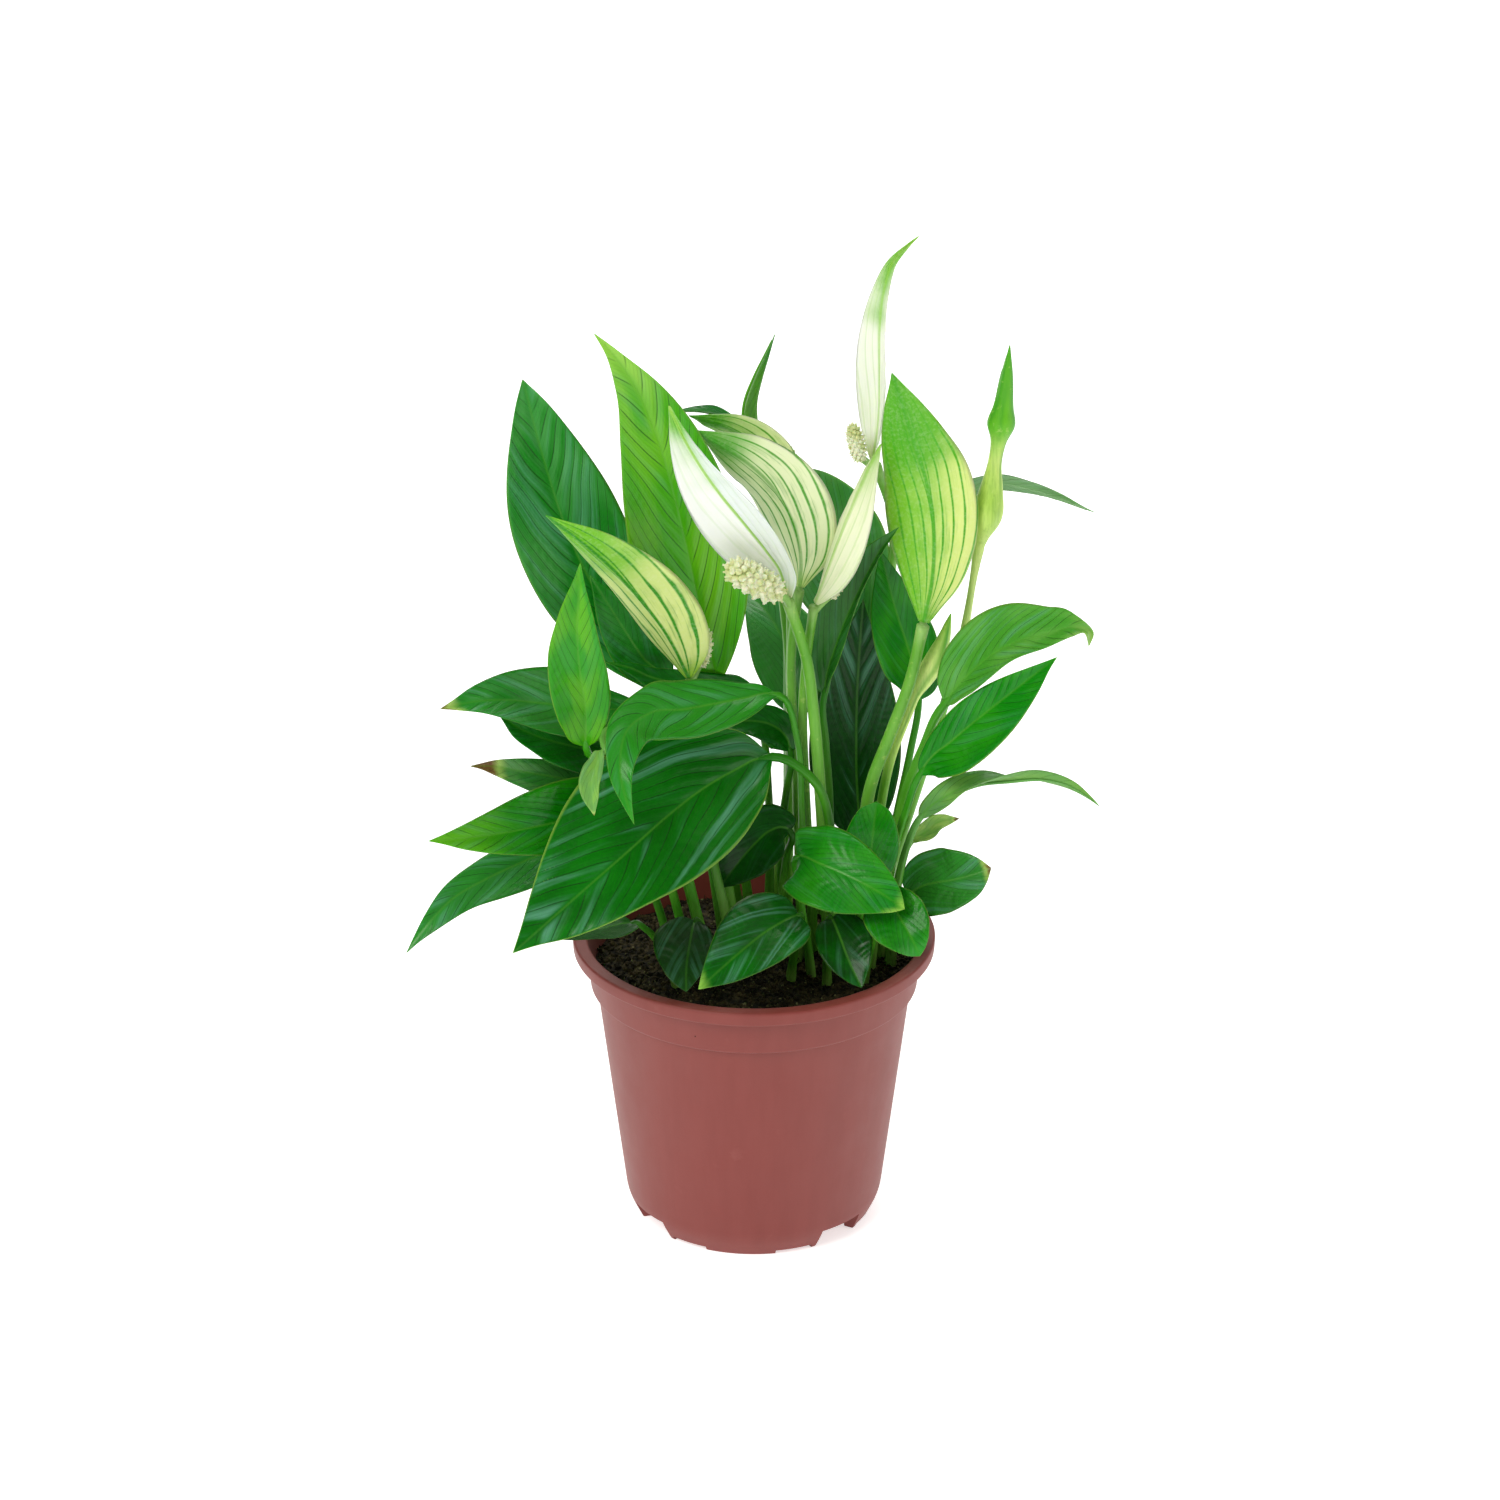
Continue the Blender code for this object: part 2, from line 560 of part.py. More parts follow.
# left side, top to bottom
build_leaf("leaf_25", (-14, -10), [(-27, -12, 145), (-43, -16, 169), (-51, -27, 178)],
           [(-54, -36, 184), (-54, -39, 199), (-56, -41, 217), (-56, -43, 235),
            (-55, -44, 252)],
           (11, 9), (0.05, -0.95, 0.3), FRESH, cup=20)
build_leaf("leaf_26", (-9, 2), [(-18, 1, 140)],
           [(-38, -6, 180), (-50, -17, 188), (-65, -29, 196), (-84, -41, 203),
            (-100, -50, 204)],
           (13, 12.5), (-0.1, -0.7, 0.7), DEEP, cup=12, belly=0.42)
build_leaf("leaf_27", (-15, -2), [(-27, -3, 135)],
           [(-42, -6, 165), (-53, -15, 173), (-65, -25, 181), (-75, -33, 189),
            (-82, -38, 197)],
           (11, 8), (-0.1, -0.7, 0.7), DEEP, cup=12)
build_leaf("leaf_28", (-21, -2), [(-31, -6, 132)],
           [(-46, -14, 158), (-58, -23, 166), (-72, -32, 173), (-83, -40, 179),
            (-91, -46, 182)],
           (9, 5.5), (-0.1, -0.75, 0.65), DEEP, cup=14)
build_leaf("leaf_29", (-20, -10), [(-29, -17, 132)],
           [(-37, -22, 158), (-50, -34, 160), (-68, -46, 161), (-86, -56, 162),
            (-104, -64, 164)],
           (13, 13), (-0.1, -0.75, 0.65), FRESH, cup=12, belly=0.34)
build_leaf("leaf_30", (-26, -4), [(-35, -8, 123)],
           [(-50, -15, 144), (-63, -26, 144), (-77, -36, 142), (-95, -47, 137),
            (-105, -55, 130), (-112, -60, 122)],
           (11, 7.5), (-0.1, -0.7, 0.7), DEEP, cup=12)

# between and behind them
build_leaf("leaf_31", (-4, 21), [(-12, 18, 140)],
           [(-29, 9, 186), (-36, 5, 197), (-43, 2, 210), (-53, -1, 229)],
           (9, 9), (0, -0.9, 0.4), DEEP)
build_leaf("leaf_32", (5, 18), [(5, 17, 140)],
           [(0, 11, 180), (-16, 3.5, 187), (-31, -1, 192), (-40, -3, 197), (-48, -5, 200)],
           (7, 5), (-0.1, -0.7, 0.7), DEEP)
build_leaf("leaf_33", (8, 3), [(10, 2, 122)],
           [(12, -1, 137), (6, -3, 139), (-2, -5, 132), (-12, -5, 118)],
           (11, 10), (-0.1, -0.8, 0.6), DEEP)
build_leaf("leaf_34", (10, 13), [(9, 12, 130)],
           [(12, 10, 161), (6, 9, 171), (-4, 6, 174), (-14, 3, 174)],
           (8, 6), (0, -0.75, 0.65), DEEP)
build_leaf("leaf_35", (7, 39), [(12, 44, 130)],
           [(15, 44, 158), (12, 55, 174), (5, 67, 185), (-5, 80, 190)],
           (13, 13), (-0.1, -0.3, 1), DEEP, cup=14)

# flowers: stalk, hood, spike
build_scape("flower_1_stalk", (27, 31), [(34, 42, 140), (42, 45, 188), (46, 36, 228)],
            (39.7, 23, 257.5), STALK, 1.7, 1.5)
build_spathe("flower_1_spathe", [(38.5, 22, 259), (40.5, 23, 275), (40.5, 25, 295),
                                 (41, 27, 311), (45, 29, 326), (53, 31, 334)],
             (8, 8), (-0.75, -0.6, 0.1), SPATHE_WHITE, cup=34, belly=0.36, taper=1.5)
build_spadix("flower_1_spadix", (34.5, 16.5, 262), (31.5, 14.5, 275), 2.6, CREAM)

build_scape("flower_2_stalk", (25, 3), [(22, 2, 147), (20, 2, 170), (18, -1, 195)],
            (10.9, -4.0, 221.4), STALK, 2.1, 1.8)
build_spathe("flower_2_spathe", [(10.5, -4.5, 223), (8, -9, 235), (-2, -16, 252),
                                 (-13, -21, 269), (-21, -26, 285), (-27, -30, 300)],
             (12.5, 12), (-0.35, -0.9, -0.1), SPATHE_WHITE, cup=32, belly=0.4, root=1.8)
build_spadix("flower_2_spadix", (8, -13.5, 228), (-8, -26, 243), 4.6, CREAM)

build_scape("flower_3_stalk", (16, 13), [(14, 15, 150), (12, 13.5, 190)],
            (14.7, 8.3, 219.5), STALK, 1.7, 1.5)
build_spathe("flower_3_spathe", [(15, 8, 221), (15, 5, 235), (11, 3, 250), (3, 1, 263),
                                 (-7, -1, 272), (-19, -4, 281)],
             (14, 13), (0.3, 0.95, 0.1), SPATHE_STRIPED, cup=28, belly=0.42)
build_spadix("flower_3_spadix", (15, 13, 227), (12, 15, 245), 3.6, CREAM)

build_scape("flower_4_stalk", (11, 20), [(12, 22, 160)], (12.1, 20.3, 241.5), STALK, 1.7,
            1.5)
build_spathe("flower_4_spathe", [(12, 20, 243), (5, 17, 261), (-5, 13, 273), (-21, 6, 282)],
             (9, 9.5), (0.3, 0.9, 0.35), SPATHE_STRIPED, cup=24)
build_spadix("flower_4_spadix", (14, 25.5, 248), (11, 26.5, 262), 2.2, CREAM)

build_scape("flower_5_stalk", (20, 7), [(17, 8, 144), (16, 7, 182)],
            (19.4, 2.4, 216.5), STALK, 1.7, 1.5)
build_spathe("flower_5_spathe", [(20, 2, 218), (25, -1, 234), (31, -1, 251), (36, 1, 263),
                                 (41, 4, 273)],
             (9, 8.5), (0.75, 0.5, -0.2), SPATHE_WHITE, cup=36)
build_spadix("flower_5_spadix", (25, 4.5, 219), (29, 5, 230), 2.4, CREAM)

build_scape("flower_6_stalk", (-4, -2), [(-14, -2, 150), (-20, -5, 178)],
            (-20.8, -7.1, 194.6), STALK, 1.7, 1.5)
build_spathe("flower_6_spathe", [(-21, -8, 196), (-29, -15, 216), (-42, -24, 238),
                                 (-54, -31, 253), (-66, -38, 266)],
             (14.5, 11), (0.3, 0.92, 0.25), SPATHE_STRIPED, cup=24, belly=0.36)
build_spadix("flower_6_spadix", (-17.5, -5.5, 199), (-16, -2.5, 211), 2.8, CREAM)

build_scape("flower_7_stalk", (32, 7), [(37, 4, 143), (41, 4, 161), (49, 2, 183)],
            (54.8, 0.2, 210.6), STALK, 2.2, 1.9)
build_spathe("flower_7_spathe", [(55, 0, 212), (58, 2, 230), (57, 4, 253), (51, 5, 274),
                                 (44, 3, 298)],
             (15, 16), (0.1, 0.98, 0.1), SPATHE_STRIPED, cup=24, belly=0.42, root=1.8)
build_spadix("flower_7_spadix", (56, 9, 218), (57, 12, 236), 3.4, CREAM)

build_bud("bud_1", (39, 22), [(56, 20, 150), (68, 17, 197)],
          [(73, 15, 232), (76, 14, 245), (78, 14, 263), (80, 14, 277), (82, 14, 303)],
          ((0.04, 2.2), (0.18, 5.0), (0.3, 3.8), (0.44, 2.2), (0.54, 2.6), (0.62, 4.4),
           (0.7, 3.2), (0.85, 2.0)), SPATHE_STRIPED)
build_bud("bud_2", (36, 10), [(43, 9, 150)],
          [(52, 7, 181), (57, 7, 192), (61, 7, 200), (64, 7, 212)],
          ((0.05, 1.6), (0.25, 3.0), (0.5, 3.2), (0.75, 2.0), (0.9, 1.0)), SPATHE_STRIPED)
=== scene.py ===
"""Potted peace lily: veined glossy leaves, pale hooded flowers, crumbly peat and a moulded pot.

Every leaf, hood, stalk and bud is read back from the loft rings of its CAD solid and rebuilt
as a smooth surface: ribbed and veined blades, round stalks, hoods and rolled buds.
"""
import json
import math

import bmesh
import bpy
import numpy as np
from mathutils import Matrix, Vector, noise


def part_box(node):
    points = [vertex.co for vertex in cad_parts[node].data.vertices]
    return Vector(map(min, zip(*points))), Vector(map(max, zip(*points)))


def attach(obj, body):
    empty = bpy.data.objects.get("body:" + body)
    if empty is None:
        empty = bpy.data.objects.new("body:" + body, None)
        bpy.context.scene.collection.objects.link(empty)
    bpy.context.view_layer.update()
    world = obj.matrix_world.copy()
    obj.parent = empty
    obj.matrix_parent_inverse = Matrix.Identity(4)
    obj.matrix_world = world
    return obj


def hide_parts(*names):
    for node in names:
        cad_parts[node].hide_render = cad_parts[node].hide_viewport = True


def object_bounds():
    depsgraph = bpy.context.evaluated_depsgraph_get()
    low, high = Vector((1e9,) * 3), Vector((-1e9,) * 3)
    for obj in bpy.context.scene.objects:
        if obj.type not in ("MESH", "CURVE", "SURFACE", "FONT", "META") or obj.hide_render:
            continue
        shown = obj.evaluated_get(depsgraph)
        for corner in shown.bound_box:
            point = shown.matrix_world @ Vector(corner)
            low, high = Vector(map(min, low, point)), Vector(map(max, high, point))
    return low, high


bl_info = {
    "name": "Potted Peace Lily",
    "version": (1, 0, 0),
    "blender": (4, 5, 0),
    "location": "3D View > Sidebar > Peace Lily",
    "description": "Grows the leaves, flowers, peat and pot of a peace lily round its frame",
    "category": "Add Mesh",
}

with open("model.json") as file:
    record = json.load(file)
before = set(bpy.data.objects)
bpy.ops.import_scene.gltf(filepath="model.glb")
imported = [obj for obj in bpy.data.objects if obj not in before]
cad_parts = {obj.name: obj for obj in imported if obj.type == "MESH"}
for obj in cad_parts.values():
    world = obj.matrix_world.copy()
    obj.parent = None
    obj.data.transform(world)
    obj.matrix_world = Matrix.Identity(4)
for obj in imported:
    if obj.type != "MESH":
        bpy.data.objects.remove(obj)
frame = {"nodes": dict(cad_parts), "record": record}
NODES = frame["nodes"]
CAD_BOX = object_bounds()
MM = 0.001
WELD = 0.000002


def paint(red, green, blue):
    """A linear colour from everyday 0 to 255 values."""
    def linear(value):
        share = value / 255.0
        return share / 12.92 if share <= 0.04045 else ((share + 0.055) / 1.055) ** 2.4
    return (linear(red), linear(green), linear(blue))


# ---- greens and creams ------------------------------------------------------------------
DEEP = paint(2, 96, 2)
FOREST = paint(4, 118, 2)
BLUISH = paint(48, 148, 44)
SAGE = paint(112, 166, 96)
LEAFY = paint(46, 148, 4)
SPRING = paint(96, 176, 20)
LIME = paint(146, 198, 74)
STRAW = paint(190, 214, 110)
OLIVE = paint(34, 96, 26)
CREAM = paint(240, 242, 216)
PISTACHIO = paint(216, 228, 172)
BURNT = paint(118, 78, 48)
STEM = paint(104, 174, 46)
STEM_SHADE = paint(48, 132, 14)
RIB = paint(92, 164, 50)
UNDERSIDE = paint(96, 150, 66)
# painted sheen: a pale bluish highlight painted in streaks between the leaf veins
PAINTED_SHEEN = paint(112, 178, 152)
VEIN_SHADE = paint(0, 46, 0)
LEAF_GRAIN = paint(50, 180, 24)
STALK_FOOT = paint(150, 176, 92)
SCAPE_LIGHT = paint(118, 184, 60)
SCAPE_SHADE = paint(78, 152, 30)
FLORET_GRAIN = paint(168, 178, 96)

# ---- plastic and peat -------------------------------------------------------------------
POT_SCUFF = paint(176, 116, 108)
POT_GRAIN = paint(104, 42, 36)
PEAT_GRAIN = paint(120, 116, 74)
GRIT_DARK = paint(80, 78, 46)
GRIT_LIGHT = paint(136, 132, 92)
GRIT_GRAIN = paint(176, 172, 140)


def look(body, light=None, streaks=0.35, rim=0.3, tip=None, tip_size=0.15, burn=0.0,
         half=None, patch=0.5, veins=0.7, wave=0.045):
    """How one blade is coloured.

    body, light: main and lighter green.  streaks: painted sheen, a highlight between the veins.
    rim: how yellow its margin is.  tip, tip_size: colour and reach of a paler tip.
    burn: reach of a dry brown tip.  half: lighter green of the half right of the rib.
    patch: how much the two greens mix.  veins: shade painted in the veins.  wave: margin ripple.
    """
    return {"body": body, "light": light or body, "streaks": streaks, "rim": rim, "tip": tip,
            "tip_size": tip_size, "burn": burn, "half": half, "patch": patch, "veins": veins,
            "wave": wave}


# some greens carry painted shade: leaf_18, leaf_20 and leaf_33 stand deep in the plant and are
# painted dark for the shade there
LEAVES = {
    "leaf_01": look(paint(14, 126, 20), paint(72, 158, 70), streaks=0.95, rim=0.25),
    "leaf_02": look(paint(70, 164, 4), paint(118, 188, 34), streaks=0.3, rim=0.5,
                    tip=LIME, tip_size=0.3, patch=0.7),
    "leaf_03": look(FOREST, DEEP, streaks=0.3),
    "leaf_04": look(paint(92, 164, 28), SAGE, streaks=0.2, tip=FOREST, tip_size=0.5),
    "leaf_05": look(paint(66, 146, 60), SAGE, streaks=0.5, rim=0.5),
    "leaf_06": look(paint(116, 166, 104), SAGE, streaks=0.5, rim=0.2),
    "leaf_07": look(paint(34, 110, 24), paint(60, 132, 40), streaks=0.5, rim=0.7),
    "leaf_08": look(paint(2, 62, 6), paint(16, 82, 26), streaks=1.1, rim=0.15),
    "leaf_09": look(FOREST, LEAFY, streaks=0.35, rim=0.3),
    "leaf_10": look(paint(70, 152, 40), paint(112, 178, 76), streaks=0.6, rim=0.7,
                    tip=paint(140, 176, 84), tip_size=0.2),
    "leaf_11": look(paint(2, 126, 0), paint(40, 150, 2), streaks=0.25, rim=1.0),
    "leaf_12": look(paint(102, 158, 84), LIME, streaks=0.4, rim=0.5),
    "leaf_13": look(paint(130, 178, 84), STRAW, streaks=0.2, burn=0.12),
    "leaf_14": look(paint(42, 124, 34), BLUISH, streaks=0.9, rim=0.3, burn=0.06),
    "leaf_15": look(paint(12, 128, 6), LEAFY, streaks=0.45, rim=0.3, tip=LIME, tip_size=0.14),
    "leaf_16": look(paint(10, 126, 2), LEAFY, streaks=0.3, rim=0.4),
    "leaf_17": look(paint(14, 120, 4), LEAFY, streaks=0.4, rim=0.4, tip=BLUISH, tip_size=0.3),
    # painted shade: dark for the shade it stands in
    "leaf_18": look(paint(6, 62, 4), DEEP, streaks=0.3, rim=0.1),
    "leaf_19": look(paint(2, 86, 2), FOREST, streaks=1.1, rim=0.3, tip=LIME, tip_size=0.1),
    # painted shade: dark for the shade it stands in, behind the stalks
    "leaf_20": look(paint(22, 66, 16), paint(40, 92, 42), streaks=0.6, rim=0.1),
    "leaf_21": look(OLIVE, paint(60, 110, 40), streaks=0.2),
    "leaf_22": look(paint(2, 98, 2), paint(12, 124, 10), streaks=1.3, rim=0.9),
    "leaf_23": look(paint(36, 136, 22), BLUISH, streaks=0.7, rim=0.4),
    "leaf_24": look(paint(112, 168, 82), LIME, streaks=0.5, burn=0.05),
    "leaf_25": look(paint(40, 148, 0), paint(88, 172, 2), streaks=0.15, rim=0.6, patch=0.9),
    "leaf_26": look(paint(30, 128, 28), BLUISH, streaks=0.8, rim=0.2, burn=0.05),
    "leaf_27": look(FOREST, DEEP, streaks=0.2, rim=0.2),
    "leaf_28": look(paint(52, 130, 46), SAGE, streaks=0.5, burn=0.2),
    "leaf_29": look(paint(10, 118, 2), LEAFY, streaks=0.25, rim=0.4, tip=SPRING,
                    tip_size=0.45),
    "leaf_30": look(paint(40, 126, 40), BLUISH, streaks=1.0, rim=0.3),
    "leaf_31": look(FOREST, BLUISH, streaks=0.4),
    "leaf_32": look(DEEP, FOREST, streaks=0.2),
    # painted shade: a dark leaf filling the shaded middle of the plant
    "leaf_33": look(paint(2, 72, 2), DEEP, streaks=0.3, rim=0.2),
    "leaf_34": look(DEEP, FOREST, streaks=0.2),
    "leaf_35": look(paint(60, 134, 56), BLUISH, streaks=0.3),
}


def hood(body, stripe, strength, tip, tip_size, base, base_size=0.12, midrib=0.6, half=None,
         blur=0.06, lines=3.3):
    """How one flower's hood is coloured, from its foot to its tip.

    body, stripe, strength: ground, vein colour and how strong the veins are.
    tip, tip_size: colour and reach of the tip.  base, base_size: the same for the foot.
    midrib: strength of the middle vein.  half, blur: colour of one side, and how softly it
    passes into the other; flower_2's half is painted shade, flower_7's is its own green.
    lines: veins on each side.
    """
    return {"body": body, "stripe": stripe, "strength": strength, "tip": tip,
            "tip_size": tip_size, "base": base, "base_size": base_size, "midrib": midrib,
            "half": half, "blur": blur, "lines": lines}


HOODS = {
    "flower_1": hood(paint(244, 247, 232), LIME, 0.25, paint(104, 178, 30), 0.4, PISTACHIO),
    # flower_2: its half colour is painted shade on the shaded side of the hood
    "flower_2": hood(paint(250, 252, 243), LIME, 0.16, paint(100, 176, 30), 0.3, PISTACHIO,
                     midrib=0.9, half=paint(232, 240, 238)),
    "flower_3": hood(paint(228, 238, 190), paint(62, 152, 20), 0.95, paint(62, 150, 16), 0.32,
                     paint(200, 224, 130), lines=3.6),
    "flower_4": hood(paint(222, 235, 172), paint(62, 152, 18), 0.95, paint(70, 158, 14), 0.4,
                     paint(120, 184, 50), lines=3.2),
    "flower_5": hood(paint(238, 243, 204), LIME, 0.3, paint(124, 188, 44), 0.24, PISTACHIO),
    "flower_6": hood(paint(214, 230, 138), paint(44, 144, 0), 1.0, paint(104, 184, 2), 0.5,
                     paint(150, 202, 40), midrib=1.0, lines=2.6),
    "flower_7": hood(paint(214, 230, 134), paint(66, 160, 8), 1.0, paint(76, 164, 8), 0.52,
                     paint(110, 178, 40), base_size=0.1, midrib=0.9,
                     half=paint(116, 186, 32), blur=0.75, lines=4.2),
}


# ---- material trees ---------------------------------------------------------------------
class Wire:
    """A socket of a node tree; arithmetic on it adds the Math nodes that it needs."""

    def __init__(self, tree, socket=None):
        self.tree = tree
        self.socket = socket

    def node(self, kind, settings=None, sockets=None, out=0):
        """Add a node: its settings first, then the values or links of its sockets."""
        made = self.tree.nodes.new(kind)
        for name, value in (settings or {}).items():
            if name == "stops":
                ramp = made.color_ramp
                for place, colour in value[2:]:
                    ramp.elements.new(place)
                for stop, (place, colour) in zip(ramp.elements, sorted(value)):
                    stop.position = place
                    stop.color = (*colour, 1.0)
            else:
                setattr(made, name, value)
        for name, value in (sockets or {}).items():
            self.plug(made, name, value)
        if isinstance(out, str):
            found = [s for s in made.outputs if out in (s.identifier, s.name)][0]
        else:
            found = made.outputs[out]
        return Wire(self.tree, found)

    def plug(self, made, name, value):
        """Link or set one input of a node, found by its place, identifier or name."""
        if isinstance(name, int):
            target = made.inputs[name]
        else:
            same = [s for s in made.inputs if s.identifier == name]
            target = (same or [s for s in made.inputs if s.name == name])[0]
        if isinstance(value, Wire):
            self.tree.links.new(value.socket, target)
        else:
            target.default_value = value

    def math(self, operation, *others):
        """This value put through one Math node."""
        return self.node("ShaderNodeMath", {"operation": operation},
                         dict(enumerate((self,) + others)))

    def __add__(self, other):
        return self.math("ADD", other)

    __radd__ = __add__

    def __mul__(self, other):
        return self.math("MULTIPLY", other)

    __rmul__ = __mul__

    def __sub__(self, other):
        return self.math("SUBTRACT", other)

    def __rsub__(self, other):
        return self * -1.0 + other

    def off_centre(self):
        """How far this value's fraction lies from a half."""
        return (self.math("FRACT") - 0.5).math("ABSOLUTE")

    def vector(self, x=0.0, y=0.0, z=0.0):
        """A vector of three numbers or wires."""
        return self.node("ShaderNodeCombineXYZ", None, {"X": x, "Y": y, "Z": z}, "Vector")

    def drawn_out(self, place, share):
        """A place squeezed along Z, so that what is read there comes out long."""
        return self.node("ShaderNodeMapping", None,
                         {"Vector": place, "Scale": (1.0, 1.0, share)}, "Vector")

    def between(self, low, high):
        """0 below low, 1 above high, smooth in between."""
        return self.node("ShaderNodeMapRange", {"interpolation_type": "SMOOTHSTEP"},
                         {"Value": self, "From Min": low, "From Max": high}, "Result")

    def blend(self, first, second, how="MIX"):
        """Mix two colours by this amount."""
        sockets = {"Factor_Float": self}
        for name, value in (("A_Color", first), ("B_Color", second)):
            sockets[name] = value if isinstance(value, Wire) else (*value, 1.0)
        return self.node("ShaderNodeMix", {"data_type": "RGBA", "blend_type": how}, sockets,
                         "Result_Color")

    def attribute(self, name, out="Fac"):
        """A value or colour that the mesh carries at each point."""
        return self.node("ShaderNodeAttribute", {"attribute_name": name}, out=out)

    def coordinates(self):
        """The object's own coordinates, metres."""
        return self.node("ShaderNodeTexCoord", out="Object")

    def speckle(self, place, scale, detail=3.0, roughness=0.55):
        """Noise with about one blotch for each 1/scale of the place's own unit."""
        return self.node("ShaderNodeTexNoise", None,
                         {"Vector": place, "Scale": scale, "Detail": detail,
                          "Roughness": roughness}, 0)

    def bump(self, distance, strength=1.0):
        """A Bump node's normal from this height."""
        return self.node("ShaderNodeBump", None,
                         {"Height": self, "Distance": distance, "Strength": strength},
                         "Normal")


def material(name, plain, varying):
    """A Principled material: plain holds uniform sockets, varying(wire) gives the others."""
    made = bpy.data.materials.new(name)
    made.use_nodes = True
    shader = made.node_tree.nodes["Principled BSDF"]
    start = Wire(made.node_tree)
    for socket, value in plain.items():
        shader.inputs[socket].default_value = value
    for socket, value in varying(start).items():
        start.plug(shader, socket, value)
    return made


def leaf_finish(name, sheen_paint, rib_colour):
    """Waxy leaf: sunken veins with painted shade in them, a light rib and margin, and a pale
    painted sheen in streaks between the veins.
    """
    def varying(wire):
        place = wire.coordinates()
        base = wire.attribute("blade_colour", "Color")
        vein = wire.attribute("vein")
        rib = wire.attribute("rib")
        under = wire.attribute("under")
        main_line = vein.off_centre().between(0.43, 0.5)
        fine_line = (vein * 4.0).off_centre().between(0.3, 0.5)
        crease = (main_line + fine_line * 0.25).math("MINIMUM", 1.0)
        along_vein = wire.vector(vein * 0.9, rib * 0.05, wire.attribute("seed"))
        drift = wire.speckle(along_vein, 1.0, 2.5, 0.5)
        # where the sheen is painted: bands along the veins, kept off the vein lines
        streak = drift.between(0.47, 0.72) * wire.attribute("streak") * (1.0 - crease * 0.7)
        grain = wire.speckle(place, 700.0)
        cloud = wire.speckle(place, 60.0, 2.0)
        # painted shade: the sunken veins are drawn darker where they crease
        shaded = (crease * wire.attribute("vein_depth")).blend(base, VEIN_SHADE)
        lit = (cloud.between(0.45, 0.75) * 0.25).blend(shaded, base)
        # the pale painted sheen is laid over the colour in those bands
        with_painted_sheen = (streak * 0.42).blend(lit, sheen_paint)
        ribbed = ((1.0 - rib.between(0.15, 0.6)) * wire.attribute("rib_light")).blend(
            with_painted_sheen, rib_colour)
        margin = ((1.0 - wire.attribute("edge").between(0.0, 0.05))
                  * wire.attribute("rim")).blend(ribbed, LIME)
        dusty = (grain.between(0.35, 0.8) * 0.06).blend(margin, LEAF_GRAIN)
        colour = (under * 0.55).blend(dusty, UNDERSIDE)
        height = grain * 0.12 - crease * 0.8 + cloud * 0.4
        dull = 0.36 + streak * 0.12 + under * 0.2 + crease * 0.1
        return {"Base Color": colour, "Roughness": dull,
                "Normal": height.bump(0.00022, 0.55)}
    return material(name, {"Specular IOR Level": 0.16, "Coat Weight": 0.22,
                           "Coat Roughness": 0.2, "Subsurface Weight": 0.05,
                           "Subsurface Radius": (0.4, 1.0, 0.15),
                           "Subsurface Scale": 0.0012}, varying)


def hood_finish(name):
    """Papery hood: fine lengthwise veins and a soft satin surface."""
    def varying(wire):
        place = wire.coordinates()
        base = wire.attribute("blade_colour", "Color")
        vein = wire.attribute("vein")
        rib = wire.attribute("rib")
        line = vein.off_centre()
        along_hood = wire.vector(vein * 1.3, wire.attribute("along") * 5.0,
                                 wire.attribute("seed"))
        broken = wire.speckle(along_hood, 1.0, 3.0, 0.6)
        uneven = line + (broken - 0.5) * 0.22
        fine = (vein * 3.0).off_centre().between(0.38, 0.5)
        stripe = uneven.between(0.36, 0.47) + fine * broken.between(0.42, 0.6) * 0.35
        wash = broken.between(0.5, 0.66) * 0.55
        tint = wire.attribute("stripe_colour", "Color")
        striped = ((stripe + wash * 0.5).math("MINIMUM", 1.0)
                   * wire.attribute("streak")).blend(base, tint)
        ribbed = ((1.0 - rib.between(0.3, 0.9)) * wire.attribute("rib_light")).blend(
            striped, tint)
        grain = wire.speckle(place, 900.0)
        colour = (grain.between(0.4, 0.8) * 0.12).blend(ribbed, CREAM)
        height = grain * 0.1 - line.between(0.3, 0.5) * 0.6
        return {"Base Color": colour, "Roughness": 0.42 + grain * 0.12,
                "Normal": height.bump(0.00018, 0.5)}
    return material(name, {"Specular IOR Level": 0.35, "Subsurface Weight": 0.25,
                           "Subsurface Radius": (0.8, 1.0, 0.5),
                           "Subsurface Scale": 0.002}, varying)


def stalk_finish(name):
    """Smooth juicy stalk with faint lengthwise fibres and pale flecks."""
    def varying(wire):
        place = wire.coordinates()
        fibre = wire.speckle(wire.drawn_out(place, 0.06), 1500.0, 2.0)
        fleck = wire.speckle(place, 420.0, 2.0)
        base = wire.attribute("blade_colour", "Color")
        lined = (fibre.between(0.4, 0.7) * 0.22).blend(base, STEM_SHADE)
        colour = (fleck.between(0.6, 0.75) * 0.35).blend(lined, STRAW)
        return {"Base Color": colour, "Roughness": 0.36 + fibre * 0.15,
                "Normal": fibre.bump(0.0001, 0.35)}
    return material(name, {"Specular IOR Level": 0.4, "Subsurface Weight": 0.1,
                           "Subsurface Radius": (0.5, 1.0, 0.2),
                           "Subsurface Scale": 0.001}, varying)


